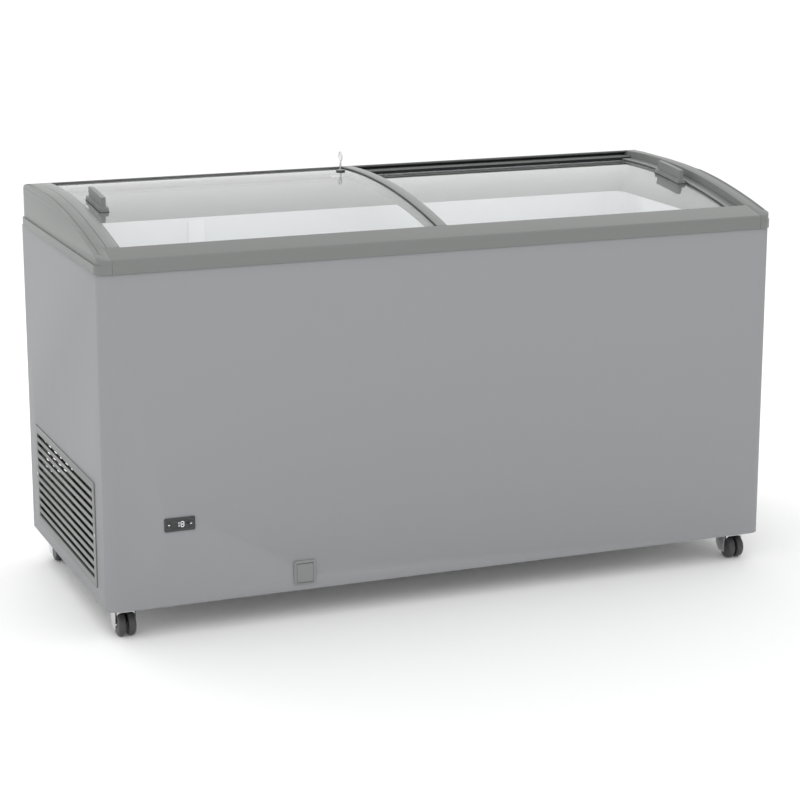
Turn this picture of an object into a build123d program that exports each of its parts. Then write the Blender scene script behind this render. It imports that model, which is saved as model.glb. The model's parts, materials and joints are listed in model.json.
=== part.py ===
from build123d import *
from math import cos, radians, sin, sqrt
import os

# Sliding-glass-lid chest freezer. Millimetres, +Z up, +X along the length (left to right as the
# user stands in front), -Y towards the user. The origin is on the floor under the middle.

os.makedirs("parts", exist_ok=True)

# ---------------------------------------------------------------- driving dimensions
# Cabinet
length = 1545.0            # left panel to right panel
depth = 671.0              # front panel to rear panel
cabinet_height = 711.0     # bottom edge of the panels to the frame
castor_height = 66.0       # floor to the bottom edge of the panels
sheet = 1.0                # panel and liner sheet
corner_radius = 25.0       # upright front corners of the outer wrap
base_recess = 4.0          # base pan above the panels' bottom edge
base_sheet = 1.5
base_lip = 12.0            # upturned rim of the base pan
touch_gap = 0.2            # between fixed sheets that meet

# Crown: every top surface is a cylinder about X
crown_rise = 97.0          # highest point above the panels' top edge
crown_radius = 2060.0
crown_setback = 525.0      # highest point behind the front panel

# Frame
overhang = 3.0             # skirt of the frame outside the panels
skirt_height = 19.0
cap_inset = 4.0            # end cap's side wall inside its skirt
cap_band = 36.0            # end cap's width on top, from the side panel
cap_nose = 30.0            # end cap's width at the front, where the rail starts
rear_radius = 26.0         # rear top edge of the rear rail and of the caps
cap_shoulder = 20.0        # outer top edge of the cap where the crown is highest
ridge_radius = 7.0         # front ridge of the rail and of the caps
frame_wall = 3.0
nose_setback = 32.0        # where the front rail's slope meets the crown
nose_drop = 8.0            # the front ridge under that point
rail_depth = 61.5          # panel to the throat, front and rear
front_wall_setback = 43.0  # back wall of the front rail's grooves
rear_flange = 27.0         # rear rail's top flange, from the rear panel
rear_wall_setback = 12.0   # back wall of the rear rail's upper groove
rib_setback = 48.0         # rear rib that carries the upper lid
joint_gap = 0.3
seal_thickness = 1.2

# Lids
glass = 4.0
glass_inset = 4.0          # glass under the top of its edge profiles
profile_height = 15.0
profile_width = 23.0       # middle profiles, and so the lids' overlap
left_profile_width = 26.0
profile_grip = 11.0        # glass inside a profile
level_gap = 1.5            # upper profile over lower profile
runner = 2.5
runner_width = 9.0
slide_gap = 0.3
lid_side_gap = 1.0
lid_front_setback = 48.0
upper_rear_setback = 19.0
lower_rear_setback = 54.0
handle_length = 118.0
handle_setback = 345.0     # middle of the handles behind the front panel
handle_width = 21.0
handle_base = 5.0
handle_pad = 4.0
blade_length = 106.0
blade_width = 10.0
blade_height = 21.0
left_handle_inset = 55.0   # handle's middle from the lid's outer edge
right_handle_inset = 36.0

# Lock
lock_from_middle = 39.0    # lock's axis left of the cabinet's middle
lock_from_rear = 89.0      # in front of the rear panel
lock_flange_radius = 10.5
lock_flange = 3.0
lock_barrel_radius = 8.0
lock_bore_radius = 6.0
lock_barrel_drop = 12.0    # below the glass's top
cam_thickness = 2.6
cam_length = 24.0
cam_width = 12.0
key_width = 24.0
key_height = 47.0
key_thickness = 2.2
key_shank = 8.0
key_blade = 9.0
turning_gap = 0.05         # radial clearance of everything that turns on a pin

# Tank and insulation
side_insulation = 70.0
end_insulation = 66.0      # front and rear
floor_insulation = 75.0
tank_radius = 45.0
step_radius = 20.0         # upright corners beside the raised floor
tank_flange = 18.0
step_width = 275.0         # raised floor over the machine compartment
step_height = 285.0
compartment_width = 300.0
compartment_height = 300.0
collar_wall = 2.0
collar_slope_rise = 66.0
collar_side_inset = 40.0   # throat's width at the top of its slope, from the side panel
probe_cover_setback = 368.0
probe_cover_width = 38.0
probe_cover_depth = 4.0
coil_tube_radius = 4.0
coil_turns = 6
coil_pitch = 80.0

# Side grille
grille_setback = 80.0
grille_rear_setback = 62.0
grille_bottom = 31.0
grille_height = 229.0
grille_face = 2.5
grille_frame = 14.0
grille_slats = 10
grille_slat = 2.5          # wall of the sleeve behind the frame
grille_inset = 9.0
grille_ribs = 4
rib_thickness = 3.0
slat_setback = 0.3         # slats behind the frame's face

# Thermostat
thermostat_from_left = 157.6
thermostat_rise = 177.0
bezel_width = 66.0
bezel_height = 29.0
bezel_face = 2.5
controller_width = 57.0
controller_height = 25.0
controller_depth = 58.0
window_width = 38.0
window_height = 18.0
window_thickness = 1.2
button_width = 6.0
button_height = 11.0
button_travel = 1.0

# Drain
drain_from_left = 431.5
drain_rise = 38.8
drain_width = 50.0
drain_height = 54.0
flap_width = 36.0
flap_height = 41.0
flap_thickness = 2.0
flap_gap = 0.6
drain_bore = 8.0
drain_wall = 2.0
drain_floor_setback = 120.0

# Castors
castor_side_inset = 47.0
castor_end_inset = 58.0
wheel_radius = 25.0
wheel_width = 17.0
wheel_spacing = 21.5
castor_trail = 13.0
axle_radius = 3.0
hood_wall = 1.6
hood_gap = 2.6
hood_rear = 33.0
hood_front = 9.0
hood_lip = 1.9              # front edge standing in from the cheeks
swivel_radius = 6.0
swivel_gap = 0.5
castor_plate = 3.0
castor_plate_size = 62.0

# Machine compartment
condenser_inset = 22.0
condenser_depth = 40.0
condenser_length = 250.0
condenser_height = 200.0
condenser_centre_y = -120.0
condenser_fins = 24
condenser_passes = 8
machine_tube_radius = 3.0
fan_radius = 80.0
fan_hub_radius = 20.0
fan_blades = 5
motor_size = 60.0
motor_depth = 45.0
compressor_radius = 75.0
compressor_height = 155.0
compressor_from_left = 190.0
compressor_y = 185.0
foot_height = 20.0
foot_radius = 12.0
inlet_from_left = 80.0
inlet_rise = 60.0

# ---------------------------------------------------------------- derived places
half_length = length / 2
front_y = -depth / 2
rear_y = depth / 2
left_x = -half_length
right_x = half_length
base_z = castor_height
rim_z = base_z + cabinet_height
pan_top = base_z + base_recess + base_sheet
crown_y = front_y + crown_setback
crown_centre_z = rim_z + crown_rise - crown_radius

lower_level = profile_height + level_gap
shelf_offset = glass_inset + glass + runner + slide_gap
upper_shelf = shelf_offset
lower_shelf = lower_level + shelf_offset
throat_front = front_y + rail_depth
throat_rear = rear_y - rail_depth
collar_top = lower_level + profile_height + 1.0

tank_left = left_x + side_insulation
tank_right = right_x - side_insulation
tank_front = front_y + end_insulation
tank_rear = rear_y - end_insulation
tank_floor = base_z + floor_insulation
step_x = tank_left + step_width
step_floor = tank_floor + step_height
compartment_x = left_x + compartment_width
compartment_top = base_z + compartment_height


def crown_z(y, depth_below=0.0):
    """Height at y of the curve that lies a given depth under the crown."""
    radius = crown_radius - depth_below
    return crown_centre_z + sqrt(radius**2 - (y - crown_y) ** 2)


def crown_arc(y_start, y_end, depth_below):
    """Draw the crown's curve at a depth, from y_start to y_end, on a YZ plane."""
    y_middle = (y_start + y_end) / 2
    ThreePointArc(
        (y_start, crown_z(y_start, depth_below)),
        (y_middle, crown_z(y_middle, depth_below)),
        (y_end, crown_z(y_end, depth_below)),
    )


def crown_band(y_front, y_rear, depth_top, depth_bottom):
    """Section between two depths under the crown, for a YZ plane."""
    with BuildSketch() as band:
        with BuildLine():
            crown_arc(y_front, y_rear, depth_top)
            Line((y_rear, crown_z(y_rear, depth_top)), (y_rear, crown_z(y_rear, depth_bottom)))
            crown_arc(y_rear, y_front, depth_bottom)
            Line((y_front, crown_z(y_front, depth_bottom)), (y_front, crown_z(y_front, depth_top)))
        make_face()
    return band.sketch


def crown_block(y_front, y_rear, z_bottom, depth_top):
    """Section from a flat bottom up to a depth under the crown, for a YZ plane."""
    with BuildSketch() as section:
        with BuildLine():
            crown_arc(y_front, y_rear, depth_top)
            Line((y_rear, crown_z(y_rear, depth_top)), (y_rear, z_bottom))
            Line((y_rear, z_bottom), (y_front, z_bottom))
            Line((y_front, z_bottom), (y_front, crown_z(y_front, depth_top)))
        make_face()
    return section.sketch


def span(low_1, high_1, low_2, high_2, mode=Mode.ADD):
    """Rectangle between two corners on the sketch's own plane."""
    with Locations(((low_1 + high_1) / 2, (low_2 + high_2) / 2)):
        Rectangle(high_1 - low_1, high_2 - low_2, mode=mode)


def block(x, y, z, mode=Mode.ADD):
    """Box between the (low, high) pairs x, y and z."""
    with Locations(((x[0] + x[1]) / 2, (y[0] + y[1]) / 2, (z[0] + z[1]) / 2)):
        Box(x[1] - x[0], y[1] - y[0], z[1] - z[0], mode=mode)


def frame_outline(skin, z_bottom):
    """The frame's side outline for a YZ plane, drawn a skin's thickness inside its outer face."""
    y_start = front_y - overhang + skin
    y_end = rear_y + overhang - skin
    y_nose = front_y + nose_setback
    ridge_z = crown_z(y_nose) - nose_drop - skin
    with BuildSketch() as outline:
        with BuildLine():
            Line((y_start, z_bottom), (y_start, ridge_z))
            Line((y_start, ridge_z), (y_nose, crown_z(y_nose, skin)))
            crown_arc(y_nose, y_end, skin)
            Line((y_end, crown_z(y_end, skin)), (y_end, z_bottom))
            Line((y_end, z_bottom), (y_start, z_bottom))
        make_face()
        for corner, radius in (
            (Vector(y_start, ridge_z), ridge_radius),
            (Vector(y_end, crown_z(y_end, skin)), rear_radius),
        ):
            fillet(outline.vertices().sort_by_distance(corner)[0], max(radius - skin, 0.5))
    return outline.sketch


def save(builder, name):
    """Label a finished piece and write it as its own STEP file."""
    builder.part.label = name
    export_step(builder.part, f"parts/{name}.step")


# ---------------------------------------------------------------- cabinet shell
grille_y = (front_y + grille_setback, rear_y - grille_rear_setback)
grille_z = (base_z + grille_bottom, base_z + grille_bottom + grille_height)
grille_open_y = (grille_y[0] + grille_frame, grille_y[1] - grille_frame)
grille_open_z = (grille_z[0] + grille_frame, grille_z[1] - grille_frame)
thermostat_x = left_x + thermostat_from_left
thermostat_z = base_z + thermostat_rise
drain_x = left_x + drain_from_left
drain_z = base_z + drain_rise
drain_socket_radius = drain_bore + drain_wall
screw_head_radius = 3.6
screw_head_depth = 1.8
screw_shank_radius = 1.8
screw_length = 12.0
grille_screws_y = (grille_y[0] + grille_frame / 2, grille_y[1] - grille_frame / 2)


def grille_screw(y, grow):
    """Countersunk screw through the grille's frame and the side panel, grown by a clearance."""
    centre_z = (grille_z[0] + grille_z[1]) / 2
    face_x = left_x - grille_face
    with BuildPart() as screw:
        with BuildSketch(Plane((face_x, y, centre_z), z_dir=(1, 0, 0))):
            Circle(screw_shank_radius + grow)
        extrude(amount=screw_length)
        with Locations(Plane((face_x + screw_head_depth / 2, y, centre_z), z_dir=(1, 0, 0))):
            Cone(screw_head_radius + grow, screw_shank_radius + grow, screw_head_depth)
    return screw.part


with BuildPart() as outer_wrap:
    with BuildSketch(Plane.XY.offset(base_z)) as wrap_plan:
        span(left_x, right_x, front_y, rear_y)
        fillet(wrap_plan.vertices().group_by(Axis.Y)[0], corner_radius)
        with BuildSketch(mode=Mode.PRIVATE) as wrap_inside:
            span(left_x + sheet, right_x - sheet, front_y + sheet, rear_y + sheet)
            fillet(wrap_inside.vertices().group_by(Axis.Y)[0], corner_radius - sheet)
        add(wrap_inside.sketch, mode=Mode.SUBTRACT)
    extrude(amount=cabinet_height)
    block(
        (left_x - sheet, left_x + 2 * sheet),
        (grille_open_y[0] - touch_gap, grille_open_y[1] + touch_gap),
        (grille_open_z[0] - touch_gap, grille_open_z[1] + touch_gap),
        Mode.SUBTRACT,
    )
    block(
        (thermostat_x - controller_width / 2 - touch_gap, thermostat_x + controller_width / 2 + touch_gap),
        (front_y - sheet, front_y + 2 * sheet),
        (thermostat_z - controller_height / 2 - touch_gap, thermostat_z + controller_height / 2 + touch_gap),
        Mode.SUBTRACT,
    )
    with Locations(Plane((drain_x, front_y, drain_z), x_dir=(1, 0, 0), z_dir=(0, -1, 0))):
        Cylinder(drain_socket_radius + touch_gap, 4 * sheet, mode=Mode.SUBTRACT)
    for screw_y in grille_screws_y:
        add(grille_screw(screw_y, touch_gap), mode=Mode.SUBTRACT)
save(outer_wrap, "outer_wrap")

inlet_x = left_x + inlet_from_left
inlet_z = base_z + inlet_rise
inlet_body = (47.0, 27.0)
inlet_flange = (58.0, 34.0)
vent_slot = (70.0, 6.0)

with BuildPart() as rear_panel:
    block(
        (left_x + sheet + touch_gap, right_x - sheet - touch_gap),
        (rear_y - sheet, rear_y),
        (base_z + base_recess + base_sheet + base_lip + touch_gap, rim_z),
    )
    block(
        (inlet_x - inlet_body[0] / 2 - touch_gap, inlet_x + inlet_body[0] / 2 + touch_gap),
        (rear_y - 2 * sheet, rear_y + sheet),
        (inlet_z - inlet_body[1] / 2 - touch_gap, inlet_z + inlet_body[1] / 2 + touch_gap),
        Mode.SUBTRACT,
    )
    vent_plane = Plane(
        (left_x + compartment_width / 2, rear_y, base_z + compartment_height * 0.62),
        x_dir=(1, 0, 0),
        z_dir=(0, -1, 0),
    )
    with BuildSketch(vent_plane):
        with GridLocations(vent_slot[0] + 12, vent_slot[1] * 2.5, 3, 9):
            SlotOverall(vent_slot[0], vent_slot[1])
    extrude(amount=2 * sheet, both=True, mode=Mode.SUBTRACT)
save(rear_panel, "rear_panel")

with BuildPart() as base_pan:
    pan_bottom = base_z + base_recess
    pan_inset = sheet + touch_gap
    block(
        (left_x + pan_inset, right_x - pan_inset),
        (front_y + pan_inset, rear_y - touch_gap),
        (pan_bottom, pan_top + base_lip),
    )
    fillet(
        base_pan.edges().filter_by(Axis.Z).group_by(Axis.Y)[0],
        corner_radius - pan_inset,
    )
    with BuildSketch(Plane.XY.offset(pan_top)) as pan_inside:
        span(
            left_x + pan_inset + base_sheet,
            right_x - pan_inset - base_sheet,
            front_y + pan_inset + base_sheet,
            rear_y - touch_gap - base_sheet,
        )
        fillet(pan_inside.vertices().group_by(Axis.Y)[0], corner_radius - pan_inset - base_sheet)
    extrude(amount=base_lip, mode=Mode.SUBTRACT)
save(base_pan, "base_pan")


# ---------------------------------------------------------------- tank and insulation
def tank_block(grow, top):
    """The tank's space as two rounded boxes, grown outwards by the given amount."""
    with BuildPart() as space:
        for x_start, floor, left_radius in (
            (step_x, tank_floor, step_radius),
            (tank_left, step_floor, tank_radius),
        ):
            with BuildSketch(Plane.XY.offset(floor - grow)) as plan:
                span(x_start - grow, tank_right + grow, tank_front - grow, tank_rear + grow)
                fillet(plan.vertices().group_by(Axis.X)[0], left_radius + grow)
                fillet(plan.vertices().group_by(Axis.X)[-1], tank_radius + grow)
            extrude(amount=top - floor + grow)
    return space.part


def tube_path(points, radii):
    """A tube's centre line: straight runs joined by tangent arcs."""
    with BuildLine() as path:
        FilletPolyline(*points, radius=radii)
    return path.line


tank_space = tank_block(0.0, rim_z + sheet)
tank_outside = tank_block(sheet, rim_z)

drain_floor_y = front_y + drain_floor_setback

with BuildPart() as inner_liner:
    add(tank_outside)
    with BuildSketch(Plane.XY.offset(rim_z - sheet)):
        with Locations(((tank_left + tank_right) / 2, (tank_front + tank_rear) / 2)):
            RectangleRounded(
                tank_right - tank_left + 2 * tank_flange,
                tank_rear - tank_front + 2 * tank_flange,
                tank_radius + tank_flange,
            )
    extrude(amount=sheet)
    add(tank_space, mode=Mode.SUBTRACT)
    with Locations((drain_x, drain_floor_y, tank_floor - sheet / 2)):
        Cylinder(drain_bore, 4 * sheet, mode=Mode.SUBTRACT)
save(inner_liner, "inner_liner")

coil_offset = sheet + coil_tube_radius + touch_gap
coil_bend = tank_radius + coil_offset
coil_end_x = tank_left + coil_bend + 40.0
coil_right = tank_right + coil_offset
coil_front = tank_front - coil_offset
coil_rear = tank_rear + coil_offset
coil_bottom = step_floor + 20.0
coil_rise = min(coil_pitch, (rim_z - tank_flange - 20.0 - coil_bottom) / coil_turns)


def coil_points():
    """Corners of the evaporator tube, wound back and forth round three walls of the tank."""
    points = []
    for turn in range(coil_turns):
        z = coil_bottom + turn * coil_rise
        row = [
            (coil_end_x, coil_front, z),
            (coil_right, coil_front, z),
            (coil_right, coil_rear, z),
            (coil_end_x, coil_rear, z),
        ]
        points += row if turn % 2 == 0 else row[::-1]
    return points


def coil_radii():
    """Bend radii at the evaporator tube's inner corners."""
    return_bend = min(15.0, coil_rise * 0.4)
    radii = []
    for turn in range(coil_turns):
        radii += [return_bend, coil_bend, coil_bend, return_bend]
    return radii[1:-1]


def coil_tube(radius):
    """Sweep the evaporator tube with the given radius."""
    path = tube_path(coil_points(), coil_radii())
    with BuildPart() as tube:
        with BuildSketch(Plane(coil_points()[0], x_dir=(0, 1, 0), z_dir=(1, 0, 0))):
            Circle(radius)
        sweep(path=path)
    return tube.part


with BuildPart() as evaporator_coil:
    add(coil_tube(coil_tube_radius))
save(evaporator_coil, "evaporator_coil")

coil_groove = coil_tube(coil_tube_radius + touch_gap / 2)

drain_route = [
    (drain_x, drain_floor_y, tank_floor - sheet - touch_gap),
    (drain_x, drain_floor_y, drain_z),
    (drain_x, front_y + 12.0, drain_z),
]
drain_bend = 20.0


def drain_pipe(radius):
    """Sweep a round pipe of the given radius along the drain's route."""
    path = tube_path(drain_route, drain_bend)
    with BuildPart() as pipe:
        with BuildSketch(Plane(drain_route[0], z_dir=(0, 0, -1))):
            Circle(radius)
        sweep(path=path)
    return pipe.part


with BuildPart() as drain_tube:
    add(drain_pipe(drain_socket_radius))
    add(drain_pipe(drain_bore), mode=Mode.SUBTRACT)
save(drain_tube, "drain_tube")

drain_groove = drain_pipe(drain_socket_radius + touch_gap)

foam_side = sheet + touch_gap
foam_lip = foam_side + base_sheet + touch_gap
with BuildPart() as insulation_foam:
    with BuildSketch(Plane.XY.offset(pan_top + touch_gap)) as foam_foot:
        span(left_x + foam_lip, right_x - foam_lip, front_y + foam_lip, rear_y - foam_lip)
        fillet(foam_foot.vertices().group_by(Axis.Y)[0], corner_radius - foam_lip)
    extrude(amount=base_lip)
    with BuildSketch(Plane.XY.offset(pan_top + base_lip + touch_gap)) as foam_plan:
        span(left_x + foam_side, right_x - foam_side, front_y + foam_side, rear_y - foam_side)
        fillet(foam_plan.vertices().group_by(Axis.Y)[0], corner_radius - foam_side)
    extrude(amount=rim_z - sheet - touch_gap - pan_top - base_lip - touch_gap)
    block(
        (left_x, compartment_x),
        (front_y, rear_y),
        (base_z, compartment_top),
        Mode.SUBTRACT,
    )
    add(tank_outside, mode=Mode.SUBTRACT)
    add(coil_groove, mode=Mode.SUBTRACT)
    add(drain_groove, mode=Mode.SUBTRACT)
    with Locations(Plane((drain_x, front_y, drain_z), x_dir=(1, 0, 0), z_dir=(0, -1, 0))):
        Cylinder(drain_socket_radius + touch_gap, 2 * 14.0, mode=Mode.SUBTRACT)
save(insulation_foam, "insulation_foam")

collar_x = half_length - cap_band - joint_gap
collar_y = (throat_front + joint_gap, throat_rear - joint_gap)
throat_low = half_length - side_insulation
throat_high = half_length - collar_side_inset


def throat_trapezoid(grow):
    """The throat's section on an XZ plane: narrow at the tank's rim, wide under the lids."""
    slope = (throat_high - throat_low) / collar_slope_rise
    extra = crown_rise
    with BuildSketch() as section:
        with BuildLine():
            Polyline(
                (-throat_low - grow + slope * sheet, rim_z - sheet),
                (throat_low + grow - slope * sheet, rim_z - sheet),
                (throat_high + grow + slope * extra, rim_z + collar_slope_rise + extra),
                (-throat_high - grow - slope * extra, rim_z + collar_slope_rise + extra),
                close=True,
            )
        make_face()
    return section.sketch


with BuildPart() as collar_hollow:
    with BuildSketch(Plane.YZ.offset(-collar_x)):
        add(
            crown_block(
                collar_y[0] + collar_wall, collar_y[1] - collar_wall, rim_z - sheet, collar_top + collar_wall
            )
        )
    extrude(amount=2 * collar_x)
    with BuildSketch(Plane.XZ.offset(-collar_y[1])):
        add(throat_trapezoid(collar_wall))
    extrude(amount=collar_y[1] - collar_y[0], mode=Mode.SUBTRACT)

with BuildPart() as inner_collar:
    with BuildSketch(Plane.YZ.offset(-collar_x)):
        add(crown_block(collar_y[0], collar_y[1], rim_z, collar_top))
    extrude(amount=2 * collar_x)
    with BuildSketch(Plane.XZ.offset(-collar_y[1] + collar_wall)):
        add(throat_trapezoid(0.0))
    extrude(amount=collar_y[1] - collar_y[0] - 2 * collar_wall, mode=Mode.SUBTRACT)
    add(collar_hollow.part, mode=Mode.SUBTRACT)
save(inner_collar, "inner_collar")

with BuildPart() as probe_cover:
    block(
        (left_x + probe_cover_setback, left_x + probe_cover_setback + probe_cover_width),
        (tank_rear - probe_cover_depth, tank_rear),
        (tank_floor + 20.0, rim_z - 8.0),
    )
    fillet(probe_cover.edges().filter_by(Axis.Z).group_by(Axis.Y)[0], 1.5)
save(probe_cover, "probe_cover")

# ---------------------------------------------------------------- frame
rail_x = half_length - cap_nose - joint_gap
front_groove_y = front_y + front_wall_setback
with BuildPart() as front_rail:
    with BuildSketch(Plane.YZ.offset(-rail_x)):
        add(frame_outline(0.0, rim_z))
        add(frame_outline(frame_wall, rim_z - 1.0), mode=Mode.SUBTRACT)
        span(front_y - overhang, throat_front, rim_z - 1.0, rim_z + crown_rise, Mode.INTERSECT)
        span(front_y - overhang, throat_front, rim_z, rim_z + frame_wall)
        span(
            front_groove_y,
            front_groove_y + frame_wall,
            crown_z(front_groove_y, lower_shelf + frame_wall / 2),
            crown_z(front_groove_y, frame_wall / 2),
        )
        for shelf in (upper_shelf, lower_shelf):
            add(crown_band(front_groove_y, throat_front, shelf, shelf + frame_wall))
        span(
            throat_front - frame_wall,
            throat_front,
            rim_z,
            crown_z(throat_front - frame_wall, lower_shelf + frame_wall / 2),
        )
    extrude(amount=2 * rail_x)
save(front_rail, "front_rail")

rear_rail_x = half_length - cap_band - joint_gap
flange_y = rear_y - rear_flange
rear_wall_y = rear_y - rear_wall_setback
rib_y = rear_y - rib_setback
with BuildPart() as rear_rail:
    with BuildSketch(Plane.YZ.offset(-rear_rail_x)):
        add(frame_outline(0.0, rim_z))
        add(frame_outline(frame_wall, rim_z - 1.0), mode=Mode.SUBTRACT)
        span(flange_y, rear_y + overhang, rim_z - 1.0, rim_z + crown_rise, Mode.INTERSECT)
        span(throat_rear, rear_y + overhang, rim_z, rim_z + frame_wall)
        span(
            rear_wall_y - frame_wall,
            rear_wall_y,
            crown_z(rear_wall_y, upper_shelf + frame_wall / 2),
            crown_z(rear_wall_y, frame_wall / 2),
        )
        add(crown_band(rib_y - frame_wall, rear_wall_y, upper_shelf, upper_shelf + frame_wall))
        span(
            rib_y - frame_wall,
            rib_y,
            crown_z(rib_y, lower_shelf + frame_wall / 2),
            crown_z(rib_y, upper_shelf + frame_wall / 2),
        )
        add(crown_band(throat_rear, rib_y, lower_shelf, lower_shelf + frame_wall))
        span(throat_rear, throat_rear + frame_wall, rim_z, crown_z(throat_rear, lower_shelf + 1.5))
    extrude(amount=2 * rear_rail_x)
save(rear_rail, "rear_rail")

cap_inner_x = left_x + cap_band
ridge_groove = (4.0, 14.0, 1.2)
with BuildPart() as cap_upper:
    with BuildSketch(Plane.XY.offset(rim_z + skirt_height)) as upper_plan:
        span(
            left_x - overhang + cap_inset,
            cap_inner_x,
            front_y - overhang,
            rear_y + overhang - cap_inset / 2,
        )
        fillet(upper_plan.vertices().group_by(Axis.X)[0], corner_radius + overhang - cap_inset)
    extrude(amount=crown_rise - skirt_height)
    with BuildSketch(Plane.XZ.offset(-rear_y - overhang)) as shoulder_profile:
        span(left_x - overhang + cap_inset, cap_inner_x, rim_z + skirt_height, rim_z + crown_rise)
        outer_top = Vector(left_x - overhang + cap_inset, rim_z + crown_rise)
        fillet(shoulder_profile.vertices().sort_by_distance(outer_top)[0], cap_shoulder)
    extrude(amount=depth + 2 * overhang, mode=Mode.INTERSECT)

with BuildPart() as cap_plan:
    with BuildSketch(Plane.XY.offset(rim_z)) as skirt_plan:
        span(left_x - overhang, cap_inner_x, front_y - overhang, rear_y + overhang)
        fillet(skirt_plan.vertices().group_by(Axis.X)[0], corner_radius + overhang)
    extrude(amount=skirt_height)
    add(cap_upper.part)

with BuildPart() as left_end_cap:
    with BuildSketch(Plane.YZ.offset(left_x - overhang)):
        add(frame_outline(0.0, rim_z))
    extrude(amount=overhang + cap_band)
    add(cap_plan.part, mode=Mode.INTERSECT)
    with BuildSketch(Plane.YZ.offset(left_x + ridge_groove[0])):
        add(crown_band(front_y + nose_setback, rear_y - rear_radius, -1.0, ridge_groove[2]))
    extrude(amount=ridge_groove[1] - ridge_groove[0], mode=Mode.SUBTRACT)
    with BuildSketch(Plane.YZ.offset(left_x + cap_inset + 2 * frame_wall)):
        add(frame_outline(2 * frame_wall, rim_z - 1.0))
    extrude(amount=cap_band - cap_inset - 3 * frame_wall, mode=Mode.SUBTRACT)
    block(
        (left_x + cap_nose, cap_inner_x + 1.0),
        (front_y - overhang - 1.0, throat_front + joint_gap),
        (rim_z - 1.0, rim_z + crown_rise + 1.0),
        Mode.SUBTRACT,
    )
save(left_end_cap, "left_end_cap")

with BuildPart() as right_end_cap:
    mirror(left_end_cap.part, about=Plane.YZ)
save(right_end_cap, "right_end_cap")

with BuildPart() as track_seals:
    for seal_front, level_top, level_bottom in (
        (front_groove_y + frame_wall, frame_wall, upper_shelf),
        (front_groove_y + frame_wall, upper_shelf + frame_wall, lower_shelf),
        (rear_wall_y - frame_wall - seal_thickness, 2 * frame_wall, upper_shelf),
        (rib_y - frame_wall - seal_thickness, upper_shelf + frame_wall, lower_shelf),
    ):
        with BuildSketch(Plane.YZ.offset(-rear_rail_x)):
            add(
                crown_band(
                    seal_front, seal_front + seal_thickness, level_top + touch_gap, level_bottom - touch_gap
                )
            )
        extrude(amount=2 * rear_rail_x)
save(track_seals, "track_seals")

# ---------------------------------------------------------------- lids
lid_front = front_y + lid_front_setback
profile_front = throat_front + 1.0
lid_outer_x = half_length - cap_band - lid_side_gap
lock_x = -lock_from_middle
lock_y = rear_y - lock_from_rear
lock_plane = Plane(
    origin=(lock_x, lock_y, crown_z(lock_y, glass_inset)),
    x_dir=(1, 0, 0),
    z_dir=(0, lock_y - crown_y, crown_z(lock_y, glass_inset) - crown_centre_z),
)


def lid_glass(x, level, rear, name, with_lock):
    """Curved pane between the two profiles of a lid."""
    with BuildPart() as pane:
        with BuildSketch(Plane.YZ.offset(x[0])):
            add(crown_band(lid_front, rear, level + glass_inset, level + glass_inset + glass))
        extrude(amount=x[1] - x[0])
        if with_lock:
            with BuildSketch(lock_plane.offset(glass)):
                Circle(lock_barrel_radius + touch_gap)
            extrude(amount=-3 * glass, mode=Mode.SUBTRACT)
    save(pane, name)


def lid_profile(x, level, rear, cap_rear, grip_side, name):
    """Edge profile along the crown: a channel that grips the glass on one side."""
    grip = (x[1] - profile_grip, x[1] + 1.0) if grip_side > 0 else (x[0] - 1.0, x[0] + profile_grip)
    with BuildPart() as profile:
        with BuildSketch(Plane.YZ.offset(x[0])):
            add(crown_band(profile_front, rear, level, level + profile_height))
        extrude(amount=x[1] - x[0])
        with BuildSketch(Plane.YZ.offset(grip[0])):
            slot_top = level + glass_inset
            add(crown_band(profile_front - 1.0, rear + 1.0, slot_top, slot_top + glass))
        extrude(amount=grip[1] - grip[0], mode=Mode.SUBTRACT)
        with BuildSketch(Plane.YZ.offset(x[0])):
            add(crown_band(rear - 1.0, cap_rear, level, level + glass_inset))
        extrude(amount=x[1] - x[0])
    save(profile, name)


def lid_runners(x, level, rear, name):
    """Slider strips under the front and rear edges of the glass."""
    depth_top = level + glass_inset + glass
    with BuildPart() as runners:
        for start in (lid_front, rear - runner_width):
            with BuildSketch(Plane.YZ.offset(x[0])):
                add(crown_band(start, start + runner_width, depth_top, depth_top + runner))
            extrude(amount=x[1] - x[0])
    save(runners, name)


def lid_handle(x_middle, level, name):
    """Grip blade on a base and pad that follow the glass."""
    middle_y = front_y + handle_setback
    glass_top = level + glass_inset
    base_top = glass_top - handle_base - handle_pad
    with BuildPart() as handle:
        with BuildSketch(Plane.YZ.offset(x_middle - handle_width / 2)):
            half_base = handle_length / 2
            add(crown_band(middle_y - half_base, middle_y + half_base, base_top, glass_top))
        extrude(amount=handle_width)
        fillet(handle.edges().filter_by(Axis.Z, tolerance=15.0), 4.0)
        with BuildSketch(Plane.YZ.offset(x_middle - blade_width / 2)):
            half_blade = blade_length / 2
            blade_top = base_top - blade_height
            add(crown_band(middle_y - half_blade, middle_y + half_blade, blade_top, base_top + 1.0))
        extrude(amount=blade_width)
    save(handle, name)


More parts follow.
